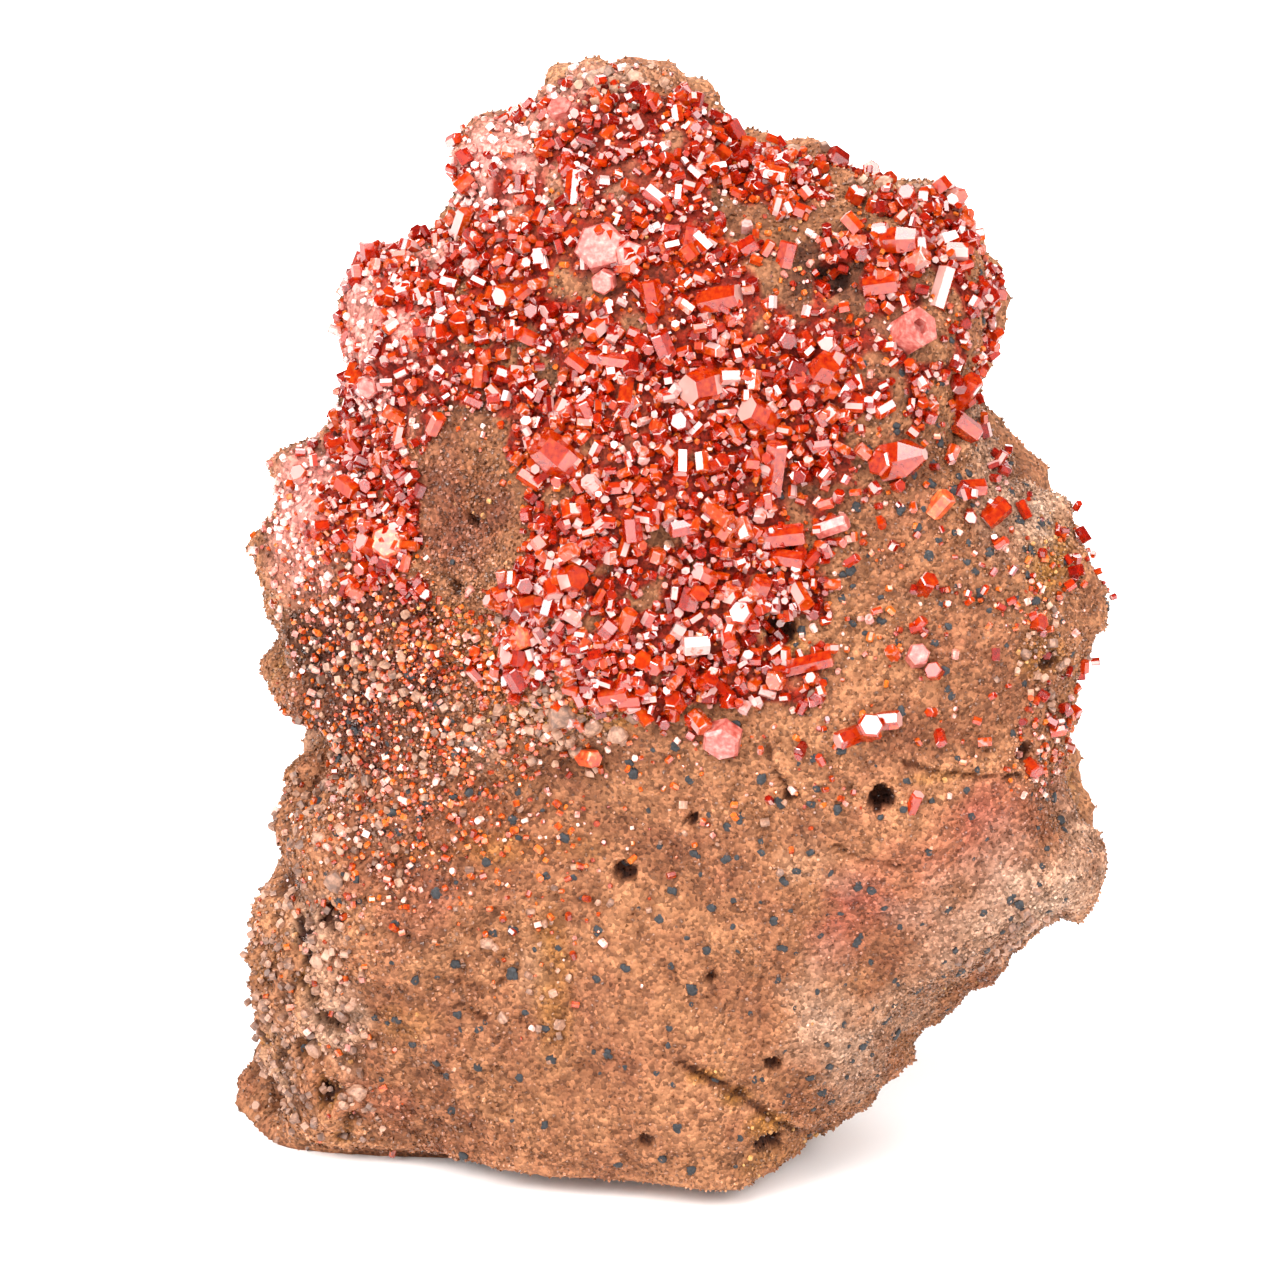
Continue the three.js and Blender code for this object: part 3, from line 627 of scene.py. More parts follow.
cover = patches(rock, CRYSTAL_PATCHES).clip(0, FULL_COVER) * on_front
cover[cover < BARE_BELOW] = -2.0        # too low for noise to lift a lone crystal out of it
right_side = smooth_step(rock[:, 0], 4, 9) * smooth_step(rock[:, 2], 33, 41) * on_front
clumps = lattice_noise(rock, 2.4, 71) + 0.6 * lattice_noise(rock, 5.5, 72)
cover = np.maximum(cover + CLUMPING * clumps - THINNING, SPARSE_COVER * right_side)
cover = cover.clip(0, 1) * (on_front > 0.1)
druse_cover = patches(rock, DRUSE_PATCHES).clip(0, 1) * on_front
cover *= 1 - DRUSE_CROWDING * druse_cover
speck_cover = patches(rock, SPECK_PATCHES).clip(0, 1) * on_front
print("share of the front under crystals:", cover[:(FRONT_CELLS + 1) ** 2].mean().round(2))

# %% [markdown]
# ## Stains and painted shade
# Iron and manganese have stained the rock in broad patches: rosy where fine haematite sits, ochre along the
# cracks, pale where crusts of other minerals lie, and dark in some patches. Painted shade is mixed in with
# them: the pits, cracks and crust cavities are painted dark, the rock under the crystals is painted dark red
# as painted shade and red light from the crystals, and raised places are painted lighter and low ones darker.
# They could be painted in an image. Kept as attributes, they need no image and follow the mesh: each stain is
# a sum of soft patches given by their middle, reach and strength, worked out per corner of the mesh.

# %% stains
STAINS = {
    # x, z, reach in x, reach in z, strength
    "rosy": [
        (20.4, 27.9, 9, 7, 0.5), (14, 23.7, 3, 6, 0.35), (26, 32, 6, 5, 0.4), (-13.8, 54, 5, 7, 0.5),
        (-22.1, 37, 6, 4, 0.6), (-22.5, 6.9, 5, 3, 0.6), (-17.7, 26.8, 6, 5, 0.35), (13.5, 70.5, 6, 4, 0.4),
        (-25.5, 55, 4, 6, 0.5),
    ],
    "ochre": [
        (4, 11.8, 1.5, 0.7, 1.0), (6.3, 10.1, 1.4, 0.8, 1.0), (9, 7.5, 2.0, 1.4, 1.0),
        (-7.3, 18, 1.8, 7, 0.6), (-18.2, 14.9, 3, 2.5, 0.5), (9.1, 46.1, 2.5, 2, 0.7),
        (28.9, 51.1, 2, 3, 1.0), (28.3, 44.1, 2.2, 2, 0.9), (-13, 57, 1.5, 4, 0.4),
        (-6, 40.1, 6, 1.8, 0.8), (-13.8, 45.1, 6, 3, 0.7), (10.6, 3.8, 4, 2, 0.6),
        (-12.8, 28.9, 9, 1.6, 0.6), (20.4, 36, 4, 0.6, 0.6), (9.6, 73.4, 5, 3, 0.3),
        (23.3, 16.4, 3, 2, 0.5), (-22, 40, 6, 8, 0.35),
    ],
    "pale": [
        (-25.5, 21.7, 3, 3, 0.6), (-24.5, 14.3, 3.2, 4, 0.7), (-23, 8.5, 2, 3, 0.5), (-29.4, 8, 2.5, 6, 0.5),
        (27.2, 25.8, 9, 7, 0.75), (12.1, 29.9, 4, 3.5, 0.4), (-4, 84.2, 6, 2, 0.4), (17.4, 78.1, 8, 2, 0.3),
        (28.2, 57.5, 6, 7, 0.85), (-19.6, 29.9, 3, 2, 0.35), (-12.8, 37, 2.5, 3, 0.45), (-6, 38.1, 4, 2, 0.4),
        (-8.9, 18.5, 3, 3, 0.25), (16.5, 14.3, 9, 9, 0.5),
    ],
    "dark": [
        (-26.9, 23.7, 2, 1.4, 0.5), (-30.3, 14.3, 1.5, 6, 0.3), (-26.6, 17.5, 1.2, 3, 0.3),
        (-26.4, 42.1, 4, 2.5, 0.5), (9.1, 47.6, 3, 1.5, 0.7), (-5, 82.4, 5, 2, 0.5), (7.7, 80.5, 5, 1.5, 0.4),
        (-14.8, 62.8, 8, 1.5, 0.3), (13.5, 71.9, 4, 2, 0.7), (-18.6, 46.6, 4, 1.5, 0.6),
        (6.7, 4.3, 5, 1.5, 0.3),
        (-13.4, 55, 3.6, 6.5, 0.3), (25, 49, 4, 5, 0.3), (-20.6, 42, 8, 7, 0.6), (-20.6, 37, 7, 8, 0.5),
        (-18.6, 22.7, 8, 9, 0.25), (3, 67, 26, 17, 0.5),
    ],
}

# %% stains and painted shade on the rock
cloud = fractal_noise(rock, 5.0, 3, 61)
wide_cloud = fractal_noise(rock, 14.0, 2, 64)
stains_and_shade = {name: (patches(rock, table) * on_front + 0.3 * cloud).clip(0, 1) for name, table in STAINS.items()}

# Behind, clouds of ochre and pale take turns. In the crust, the cavities are ochre, and the lowest are
# painted dark as painted shade.
behind = 1 - on_front
ochre_behind = 0.8 * behind * smooth_step(wide_cloud + 0.4 * cloud, 0.1, 0.9)
pale_behind = 0.6 * behind * smooth_step(-wide_cloud - 0.4 * cloud, 0.1, 0.9)
stains_and_shade["ochre"] = np.maximum(stains_and_shade["ochre"], ochre_behind)
stains_and_shade["pale"] = np.maximum(stains_and_shade["pale"], pale_behind)
# painted shade: the pits and cracks are painted dark
stains_and_shade["dark"] = np.maximum(stains_and_shade["dark"], smooth_step(hollow, 0.3, 1.0))
# painted light and shade: raised places are painted lighter and low ones darker
stains_and_shade["raised"] = (0.5 + raised / (0.65 + 0.35 * (1 - facing))).clip(0, 1)
stains_and_shade["dark"] = np.maximum(stains_and_shade["dark"], crust * smooth_step(-crust_lumps, 0.15, 0.7))
stains_and_shade["ochre"] = np.maximum(stains_and_shade["ochre"], 0.8 * crust * smooth_step(-crust_lumps, -0.2, 0.3))
stains_and_shade["pink"] = druse_cover
# painted shade, tinted with painted red light from the crystals, on the rock under crystals and specks
stains_and_shade["shade_and_red_light_under_crystals"] = (smooth_step(cover, 0.2, 0.6) + 0.4 * speck_cover).clip(0, 1)
for name, values in stains_and_shade.items():
    print(name, "covers", (values > 0.5).mean().round(3))

# %% meshes from arrays


def make_mesh(name, points, loops, sizes, material, slot, smooth=True, **attributes):
    """A mesh object from points in mm, the corner numbers of all faces in one row, and each face's size."""
    mesh = bpy.data.meshes.new(name)
    mesh.vertices.add(len(points))
    place = DRAWING_ORIGIN + points * MM
    mesh.vertices.foreach_set("co", place.astype(np.float32).ravel())
    mesh.loops.add(len(loops))
    mesh.loops.foreach_set("vertex_index", loops.astype(np.int32))
    mesh.polygons.add(len(sizes))
    starts = np.concatenate([[0], np.cumsum(sizes)[:-1]])
    mesh.polygons.foreach_set("loop_start", starts.astype(np.int32))
    mesh.polygons.foreach_set("use_smooth", np.full(len(sizes), smooth))
    mesh.update(calc_edges=True)
    for key, values in attributes.items():
        layer = mesh.attributes.new(key, "FLOAT", "POINT")
        layer.data.foreach_set("value", values.astype(np.float32))
    mesh.materials.append(material)
    piece = bpy.data.objects.new(name, mesh)
    bpy.context.scene.collection.objects.link(piece)
    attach(piece, "root")
    triangles = int((np.asarray(sizes) - 2).sum())
    print(f"{name}: {len(points)} corners, {triangles} triangles")
    return piece


# %% [markdown]
# ## Brown matrix
# The rock is a vein filling of fine quartz and iron oxide. Clouds of brown at the scale of a few millimetres
# and a grain of about 0.3 mm make it look sandy. The stains and the painted shade are mixed in, one after
# another, and noise breaks up their edges. Then each grain is made a little lighter or darker in tone. Last
# comes painted light and shade: what lies lower than its surroundings is painted darker, and what lies higher
# is painted lighter. The rock and the loose sand on it share this recipe: the rock takes its grain from
# noise, and the sand takes one tone for each grain. Real grains are finer. They are drawn as coarse as the
# view can show.

# %% brown matrix material
STAIN_AND_SHADE_COLOURS = {
    "rosy": "#90483A", "ochre": "#8A5A26", "pale": "#AA8A74", "dark": "#4A2818", "pink": "#B4766C",
    # the last is painted shade and painted red light under the crystals
    "shade_and_red_light_under_crystals": "#741806",
}
DARK_BROWN, LIGHT_BROWN = "#7B4B33", "#9A6A48"
CLOUDS_PER_METRE = 170.0
GRAINS_PER_METRE = 3300.0
GRAIN_HEIGHT = 0.00018
# Grain tone and the painted light and shade multiply the colour, so each is a factor for red, green and blue.
DARK_GRAIN, LIGHT_GRAIN = (0.5, 0.46, 0.43, 1.0), (1.42, 1.42, 1.42, 1.0)
LOW_SHADE, RAISED_LIGHT = (0.42, 0.33, 0.26, 1.0), (1.25, 1.27, 1.3, 1.0)


def stone_material(name, grain_attribute=None, roughness=0.75, gloss=0.2):
    """Brown stone: clouds of brown, then stains and painted shade from the mesh's attributes, then grain
    tone, then painted light and shade from the relief.
    """
    material, tree, output = new_material(name)
    place = add_node(tree, "ShaderNodeTexCoord").outputs["Object"]
    cloudy = add_node(
        tree, "ShaderNodeTexNoise", {"Vector": place},
        {"Scale": CLOUDS_PER_METRE, "Detail": 8.0, "Roughness": 0.7})
    sandy = add_node(tree, "ShaderNodeTexVoronoi", {"Vector": place}, {"Scale": GRAINS_PER_METRE})
    browns = add_node(tree, "ShaderNodeValToRGB", {"Fac": cloudy.outputs["Fac"]})
    browns.color_ramp.elements[0].position = 0.32
    browns.color_ramp.elements[0].color = linear(DARK_BROWN)
    browns.color_ramp.elements[1].position = 0.68
    browns.color_ramp.elements[1].color = linear(LIGHT_BROWN)
    colour = browns.outputs["Color"]
    for stain_and_shade, stain_and_shade_colour in STAIN_AND_SHADE_COLOURS.items():
        mask = add_node(tree, "ShaderNodeAttribute", attribute_name=stain_and_shade)
        broken = add_node(
            tree, "ShaderNodeMath", {0: mask.outputs["Fac"], 1: cloudy.outputs["Fac"]},
            operation="MULTIPLY")
        sharp = add_node(
            tree, "ShaderNodeMapRange", {"Value": broken.outputs[0]}, {"From Min": 0.12, "From Max": 0.5})
        mixed = add_node(
            tree, "ShaderNodeMix", {"Factor": sharp.outputs["Result"], "A": colour}, data_type="RGBA")
        mixed.inputs["B"].default_value = linear(stain_and_shade_colour)
        colour = mixed.outputs["Result"]
    grain_value = sandy.outputs["Color"]
    if grain_attribute:
        grain_value = add_node(tree, "ShaderNodeAttribute", attribute_name=grain_attribute).outputs["Fac"]
    grains = add_node(tree, "ShaderNodeValToRGB", {"Fac": grain_value})
    grains.color_ramp.elements[0].position = 0.15
    grains.color_ramp.elements[0].color = DARK_GRAIN
    grains.color_ramp.elements[1].position = 0.85
    grains.color_ramp.elements[1].color = LIGHT_GRAIN
    grained = add_node(
        tree, "ShaderNodeMix", {"A": colour, "B": grains.outputs["Color"]}, {"Factor": 1.0},
        data_type="RGBA", blend_type="MULTIPLY")
    # painted shade in low places and painted light on raised ones, from the relief
    raised_mask = add_node(tree, "ShaderNodeAttribute", attribute_name="raised")
    gap_shade = add_node(tree, "ShaderNodeValToRGB", {"Fac": raised_mask.outputs["Fac"]})
    gap_shade.color_ramp.elements[0].position = 0.15
    gap_shade.color_ramp.elements[0].color = LOW_SHADE
    gap_shade.color_ramp.elements[1].position = 0.75
    gap_shade.color_ramp.elements[1].color = RAISED_LIGHT
    grained = add_node(
        tree, "ShaderNodeMix", {"A": grained.outputs["Result"], "B": gap_shade.outputs["Color"]},
        {"Factor": 1.0}, data_type="RGBA", blend_type="MULTIPLY")
    bump = add_node(
        tree, "ShaderNodeBump", {"Height": sandy.outputs["Distance"]},
        {"Strength": 0.9, "Distance": GRAIN_HEIGHT}, invert=True)
    shader = add_node(
        tree, "ShaderNodeBsdfPrincipled",
        {"Base Color": grained.outputs["Result"], "Normal": bump.outputs["Normal"]},
        {"Roughness": roughness, "Specular IOR Level": gloss})
    tree.links.new(shader.outputs[0], output.inputs["Surface"])
    return material


matrix_stone = stone_material("sandy_vein_rock")        # dry, clouded brown that looks rough to the touch
# sugary grains that glint one by one
sand_stone = stone_material("sugary_vein_sand", grain_attribute="tone", roughness=0.2, gloss=0.5)

# %% the rock's skin
skin_table = np.stack([cell_corners, cell_extras], axis=-1).reshape(-1, 8)
skin_loops, skin_sizes = skin_table[skin_table >= 0], (skin_table >= 0).sum(axis=1)
skin = make_mesh("matrix_skin", rock, skin_loops, skin_sizes, matrix_stone, "matrix", **stains_and_shade)
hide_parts("matrix")

# %% [markdown]
# ## Stacks of rings
# Crystals, grains, dots and crumbs are all one kind of shape: rings of corners stacked along an axis, closed
# by a flat face at both ends. A crystal is a stack of three six-sided rings, the last a little smaller for
# its worn edge. Grains of sand have rings of three corners, and dots and lumps have seven. Particles or
# instances could spread the copies, but an exported model loses them, so all the copies are worked out
# together as arrays and joined in one mesh.

# %% ring stacks


def leaning_axes(outward, lean, heading):
    """Unit axes that lean by an angle from the outward normals, towards a compass heading on the surface."""
    side = unit(np.cross(outward, [0.31, 0.17, 0.93]))
    ahead = np.cross(side, outward)
    flat = np.cos(heading)[:, None] * side + np.sin(heading)[:, None] * ahead
    return np.cos(lean)[:, None] * outward + np.sin(lean)[:, None] * flat


def ring_stacks(name, centre, axis, reach, height, corners, rng, material, slot, wobble=0.14, **attributes):
    """One closed stack of rings per centre. reach and height hold one column per ring. Each corner's reach
    differs by up to the wobble, the same in every ring, so that the sides stay flat enough."""
    count, rings = reach.shape
    side = unit(np.cross(axis, [0.41, 0.83, 0.37]))
    ahead = np.cross(axis, side)
    angle = rng.uniform(0, FULL_TURN, (count, 1)) + np.arange(corners) * FULL_TURN / corners
    stretch = rng.uniform(1 - wobble, 1 + wobble, (count, corners, 1))
    around = np.cos(angle)[..., None] * side[:, None] + np.sin(angle)[..., None] * ahead[:, None]
    around = (around * stretch)[:, None] * reach[..., None, None]
    points = centre[:, None, None] + around + (axis[:, None] * height[..., None])[:, :, None]
    k = np.arange(corners)
    step = (k + 1) % corners
    walls = [np.stack([k + r, step + r, step + r + corners, k + r + corners], axis=1)
             for r in range(0, (rings - 1) * corners, corners)]
    one_loops = np.concatenate([np.concatenate(walls).ravel(), (rings - 1) * corners + k, k[::-1]])
    one_sizes = np.concatenate([np.full((rings - 1) * corners, 4), [corners, corners]])
    loops = (one_loops[None] + rings * corners * np.arange(count)[:, None]).ravel()
    spread = {key: np.repeat(value, rings * corners) for key, value in attributes.items()}
    return make_mesh(
        name, points.reshape(-1, 3), loops, np.tile(one_sizes, count), material, slot, smooth=False,
        **spread)


def spread_corners(spacing_cells, rng):
    """One corner of the front grid picked at random in each block of cells: an even but irregular spread."""
    blocks = (FRONT_CELLS + 1) // spacing_cells
    first = np.arange(blocks) * spacing_cells
    rows = first[:, None] + rng.integers(0, spacing_cells, (blocks, blocks))
    columns = first[None, :] + rng.integers(0, spacing_cells, (blocks, blocks))
    return (rows * (FRONT_CELLS + 1) + columns).ravel()


# %% [markdown]
# ## Vanadinite crystals
# Vanadinite grows as short six-sided prisms with flat ends, red to orange-red, translucent, and so glossy
# that its faces are small mirrors. Its refractive index is near 2.4. Here it is 1.8, because with few bounces
# of light a higher one turns the bodies milky, where real ones stay deep red. Faces that look in a few random
# directions are painted pale as glints, a painted reflection that flashes white or pink while the faces
# beside them stay red. The large plates are clouded with inclusions, so some of them get duller rosy and
# amber materials without see-through.

# %% vanadinite materials
FACET_STEP = 0.15       # facets whose normals differ by less than this share their painted glint
# streaks in the crystals: colour zoning, and in the clear crystals also a painted inner glow
STREAKS_PER_METRE = 2400.0
CRYSTAL_IOR = 1.8


def crystal_material(name, colours, roughness, transmission, zoning_and_glow_spread=0.5, base_tone=0.0, painted_glint_share=0.0):
    """Translucent crystal. Each crystal's tone and the streaks inside it pick a colour from deep to pale: the
    streaks are colour zoning, and in the clear crystals also a painted inner glow. The crystals of the solid
    model carry no tone of their own, so they get a base tone. Faces that look in a direction within the
    painted glint share are painted pale as glints, a painted reflection: they take the palest colour."""
    material, tree, output = new_material(name)
    place = add_node(tree, "ShaderNodeTexCoord").outputs["Object"]
    streaks = add_node(
        tree, "ShaderNodeTexNoise", {"Vector": place},
        {"Scale": STREAKS_PER_METRE, "Detail": 2.0, "Roughness": 0.6})
    tone = add_node(tree, "ShaderNodeAttribute", attribute_name="tone")
    streak_part = add_node(
        tree, "ShaderNodeMapRange", {"Value": streaks.outputs["Fac"]},
        {"From Min": 0.3, "From Max": 0.7, "To Min": base_tone - zoning_and_glow_spread, "To Max": base_tone + zoning_and_glow_spread})
    depth = add_node(
        tree, "ShaderNodeMath", {0: tone.outputs["Fac"], 1: streak_part.outputs["Result"]}, operation="ADD")
    # painted glints: faces that look in a few random directions take the palest colour, a painted reflection
    if painted_glint_share:
        facet = add_node(tree, "ShaderNodeNewGeometry").outputs["True Normal"]
        facet_step = add_node(
            tree, "ShaderNodeVectorMath", {0: facet}, {1: (FACET_STEP,) * 3}, operation="SNAP")
        facet_chance = add_node(tree, "ShaderNodeTexWhiteNoise", {"Vector": facet_step.outputs["Vector"]})
        painted_glint = add_node(
            tree, "ShaderNodeMath", {0: facet_chance.outputs["Value"]}, {1: painted_glint_share}, operation="LESS_THAN")
        depth = add_node(tree, "ShaderNodeMath", {0: depth.outputs[0], 1: painted_glint.outputs[0]}, operation="ADD")
    reds = add_node(tree, "ShaderNodeValToRGB", {"Fac": depth.outputs[0]})
    stops = np.linspace(0, 1, len(colours))
    for stop, colour in zip(stops[1:-1], colours[1:-1]):
        reds.color_ramp.elements.new(stop).color = linear(colour)
    reds.color_ramp.elements[0].color = linear(colours[0])
    reds.color_ramp.elements[-1].color = linear(colours[-1])
    shader = add_node(
        tree, "ShaderNodeBsdfPrincipled", {"Base Color": reds.outputs["Color"]},
        {"Roughness": roughness, "IOR": CRYSTAL_IOR, "Transmission Weight": transmission})
    tree.links.new(shader.outputs[0], output.inputs["Surface"])
    return material


vanadinite = crystal_material(      # wet-looking deep red to orange bodies, with real glints, painted glints on some faces and painted inner glow
    "translucent_vanadinite", ["#8C0E02", "#B41C03", "#CE3404", "#DA520C", "#F2BCB4"],
    roughness=0.05, transmission=0.5, zoning_and_glow_spread=0.2, painted_glint_share=0.11)
large_vanadinite = crystal_material(    # the same red, a little softer, for the crystals of the solid model
    "large_vanadinite_prism", ["#8E1002", "#B62003", "#CE3A06", "#DA5812", "#EEB4A8"],
    roughness=0.06, transmission=0.5, zoning_and_glow_spread=0.25, base_tone=0.4, painted_glint_share=0.1)
rosy_vanadinite = crystal_material(     # matt dusty pink, veined with red
    "clouded_rosy_vanadinite", ["#8E2C20", "#A84C42", "#B86E64", "#C8968C"],
    roughness=0.35, transmission=0.0, zoning_and_glow_spread=0.4, base_tone=0.45)
amber_vanadinite = crystal_material(    # matt orange with paler, cream-tinged streaks
    "clouded_amber_vanadinite", ["#8E1E06", "#B8380E", "#CC5A26", "#DC8854"],
    roughness=0.35, transmission=0.0, zoning_and_glow_spread=0.45, base_tone=0.5)
druse_vanadinite = crystal_material(    # frosted sugar of dusty pink
    "frosted_vanadinite_druse", ["#A4544A", "#CE8478", "#E6B2A8", "#F4D8D2"],
    roughness=0.25, transmission=0.0)

ROSY_NODES = ["crown_plate", "rose_plates", "hopper", "rosy_lath", "pale_stub", "foot_plate", "west_rose"]
AMBER_NODES = ["orange_plate", "tongue_plate", "chunk_prism", "notch_plate", "low_triplet_left"]
clouded = dict.fromkeys(ROSY_NODES, rosy_vanadinite) | dict.fromkeys(AMBER_NODES, amber_vanadinite)
for node_name, node in frame["nodes"].items():
    if node_name != "matrix":
        node.data.materials.clear()
        node.data.materials.append(clouded.get(node_name, large_vanadinite))
print("clouded crystals of the solid model:", len(clouded))

# %% [markdown]
# The scatter follows the map of how much of the surface the crystals cover, with large ones far apart and
# small ones filling in between. Most of them lie almost flat, as crystals do that grew along the rock.

# %% scatter of crystals
CRYSTAL_LAYERS = [
    # name, spacing in cells, smallest and largest radius, share of the cover, lift off the rock
    ("crystals_large", 5, 0.40, 0.76, 0.5, 0.1),
    ("crystals_middle", 3, 0.27, 0.48, 1.0, 0.0),
    ("crystals_upper", 3, 0.24, 0.42, 0.6, 0.4),
    ("crystals_small", 2, 0.15, 0.27, 0.45, 0.0),
]
SHORTEST, LONGEST = 1.2, 3.1            # length of a crystal against its radius
LEAST_LEAN, USUAL_LEAN, MOST_LEAN = 5, 80, 92       # degrees from the outward normal
SMALL_BIAS = 1.6                        # above 1, small radii are commoner than large ones
OUT_SHARE = 0.55                        # how far a crystal stands out of the rock, against half its height
PALE_SHARE, RED_TONES = 0.03, 0.78      # share of pale crystals, which partly stand for painted glints, and the highest tone of the others
WORN_EDGE = 0.12                        # bevel of a crystal's upper edge against its radius


def scatter_crystals(name, seats, small, large, material, slot, rng, tone, longest=LONGEST, lift=0.0,
                     wobble=0.14):
    """Three-ring crystals that stand on seats of the rock at all leans, each about half sunk in it."""
    outward = skin_normal[seats]
    lean = np.radians(rng.triangular(LEAST_LEAN, USUAL_LEAN, MOST_LEAN, len(seats)))
    axis = leaning_axes(outward, lean, rng.uniform(0, FULL_TURN, len(seats)))
    radius = small + (large - small) * rng.uniform(0, 1, len(seats)) ** SMALL_BIAS
    length = radius * rng.uniform(SHORTEST, longest, len(seats))
    rise = OUT_SHARE * (np.cos(lean) * length / 2 + np.sin(lean) * radius)
    centre = rock[seats] + outward * (rise + lift)[:, None]
    worn = WORN_EDGE * radius
    reach = np.stack([radius, radius, radius - worn], axis=1)
    height = np.stack([-length / 2, length / 2 - worn, length / 2], axis=1)
    return ring_stacks(name, centre, axis, reach, height, 6, rng, material, slot, wobble, tone=tone)


rng = np.random.default_rng(7)
for name, spacing, small, large, share, lift in CRYSTAL_LAYERS:
    seats = spread_corners(spacing, rng)
    seats = seats[rng.uniform(size=len(seats)) < share * cover[seats]]
    pale = rng.uniform(size=len(seats)) < PALE_SHARE
    tone = np.where(pale, 1.0, rng.uniform(0, RED_TONES, len(seats)))
    scatter_crystals(name, seats, small, large, vanadinite, "vanadinite", rng, tone, lift=lift)

# %% [markdown]
# ## Druse
# Druse is a crust of crystals too small to tell apart, frosted and pink. Its own scatter of very small, pale
# crystals makes it, because a bumpy material alone would have no sparkle and a smooth outline.

# %% frosted druse
DRUSE_SHARE = 0.55          # share of the druse's cover that gets a crystal
seats = spread_corners(2, rng)
seats = seats[rng.uniform(size=len(seats)) < DRUSE_SHARE * druse_cover[seats]]
tone = rng.uniform(0, 1, len(seats))
scatter_crystals("druse", seats, 0.14, 0.34, druse_vanadinite, "frosted_druse", rng, tone, longest=2.4)

# %% [markdown]
# ## Specks and ochre
# Around the crystals lie beads of orange and pink vanadinite, 0.2 to 0.6 mm across, and earthy ochre grains
# line the cracks. Painted spots would look flat where the light grazes the rock, so each is a small solid of
# its own, made as the crystals are. Ochre is rust in the form of earth, so it is dull.

# %% orange and pink specks
orange_speck = crystal_material(        # bright orange beads that one can't see into
    "orange_vanadinite_speck", ["#7E1E04", "#AE400A", "#C66420"], roughness=0.15, transmission=0.0)
pink_speck = crystal_material(          # pale, slightly satin beads
    "pink_vanadinite_speck", ["#A86052", "#CC8E7E", "#E4BAAC"], roughness=0.25, transmission=0.0)
for name, material, share in [("orange_specks", orange_speck, 0.66), ("pink_specks", pink_speck, 0.24)]:
    seats = spread_corners(2, rng)
    seats = seats[rng.uniform(size=len(seats)) < share * speck_cover[seats]]
    tone = rng.uniform(0, 1, len(seats))
    scatter_crystals(name, seats, 0.09, 0.28, material, "vanadinite", rng, tone, longest=2.6)

# %% ochre grains
ochre_earth = crystal_material(         # rusty and dusty, without any shine
    "earthy_iron_ochre", ["#6A3A12", "#9A6224", "#C08A44"], roughness=0.7, transmission=0.0)
seats = spread_corners(2, rng)
seats = seats[rng.uniform(size=len(seats)) < 0.5 * stains_and_shade["ochre"][seats] - 0.1]
tone = rng.uniform(0, 1, len(seats))
scatter_crystals("ochre_grains", seats, 0.08, 0.2, ochre_earth, "iron_ochre", rng, tone, longest=1.8)

# %% [markdown]
# ## Manganese dots
# Manganese oxide grew on the rock in blue-black, dull dots of about 0.4 to 1 mm. They could be stains, but
# the real ones stand out a little and have ragged edges. Each dot here is three flat blobs that overlap at
# random.

# %% blue-black manganese oxide: nearly black, mottled, and too rough to shine
manganese, tree, output = new_material("blue_black_manganese_oxide")
place = add_node(tree, "ShaderNodeTexCoord").outputs["Object"]
mottle = add_node(tree, "ShaderNodeTexNoise", {"Vector": place}, {"Scale": 4000.0, "Detail": 2.0})
blacks = add_node(tree, "ShaderNodeValToRGB", {"Fac": mottle.outputs["Fac"]})
blacks.color_ramp.elements[0].position = 0.35
blacks.color_ramp.elements[0].color = linear("#0F0E10")
blacks.color_ramp.elements[1].position = 0.7
blacks.color_ramp.elements[1].color = linear("#292A2E")
roughened = add_node(
    tree, "ShaderNodeBump", {"Height": mottle.outputs["Fac"]}, {"Strength": 0.7, "Distance": 0.0001})
dull = add_node(
    tree, "ShaderNodeBsdfPrincipled",
    {"Base Color": blacks.outputs["Color"], "Normal": roughened.outputs["Normal"]}, {"Roughness": 0.6})
tree.links.new(dull.outputs[0], output.inputs["Surface"])

# %% manganese dots
DOT_PATCHES = [
    # x, z, reach in x, reach in z, cover
    (0.8, 22, 28, 20, 0.65), (17.4, 53, 12, 16, 0.6), (-16, 15, 8, 11, 0.45), (8.7, 26.8, 9, 9, 0.35),
    (26.2, 29.9, 5, 6, 0.4), (20.4, 64.8, 5, 5, 0.35), (-20.6, 36, 8, 8, 0.3),
]
BLOBS_IN_DOT = 3
SMALLEST_DOT, LARGEST_DOT = 0.22, 0.52      # radius, mm
DOT_RINGS, DOT_HEIGHTS = np.array([1.0, 0.9, 0.45]), np.array([-0.5, 0.2, 0.4])    # against a blob's radius
dot_cover = (patches(rock, DOT_PATCHES) * (1 - cover) * on_front).clip(0, 1)
seats = spread_corners(6, rng)
seats = seats[rng.uniform(size=len(seats)) < dot_cover[seats]]
radius = np.repeat(rng.uniform(SMALLEST_DOT, LARGEST_DOT, len(seats)), BLOBS_IN_DOT)
seats = np.repeat(seats, BLOBS_IN_DOT)
flat = np.full(len(seats), math.pi / 2)
shift = leaning_axes(skin_normal[seats], flat, rng.uniform(0, FULL_TURN, len(seats)))
centre = rock[seats] + shift * (rng.uniform(0.1, 0.5, len(seats)) * radius)[:, None]
radius = radius * rng.uniform(0.4, 0.85, len(seats))
reach, height = radius[:, None] * DOT_RINGS, radius[:, None] * DOT_HEIGHTS
ring_stacks(
    "manganese_dots", centre, skin_normal[seats], reach, height, 7, rng, manganese, "manganese_oxide",
    wobble=0.3)

# %% [markdown]
# ## Crumbs and lumps
# Cream crumbs and lumps of other vein minerals stick to the lower left edge, below the thick crystals and on
# the crest. Crumbs follow a map, as the crystals do. The lumps are few and large enough to be listed one by
# one.

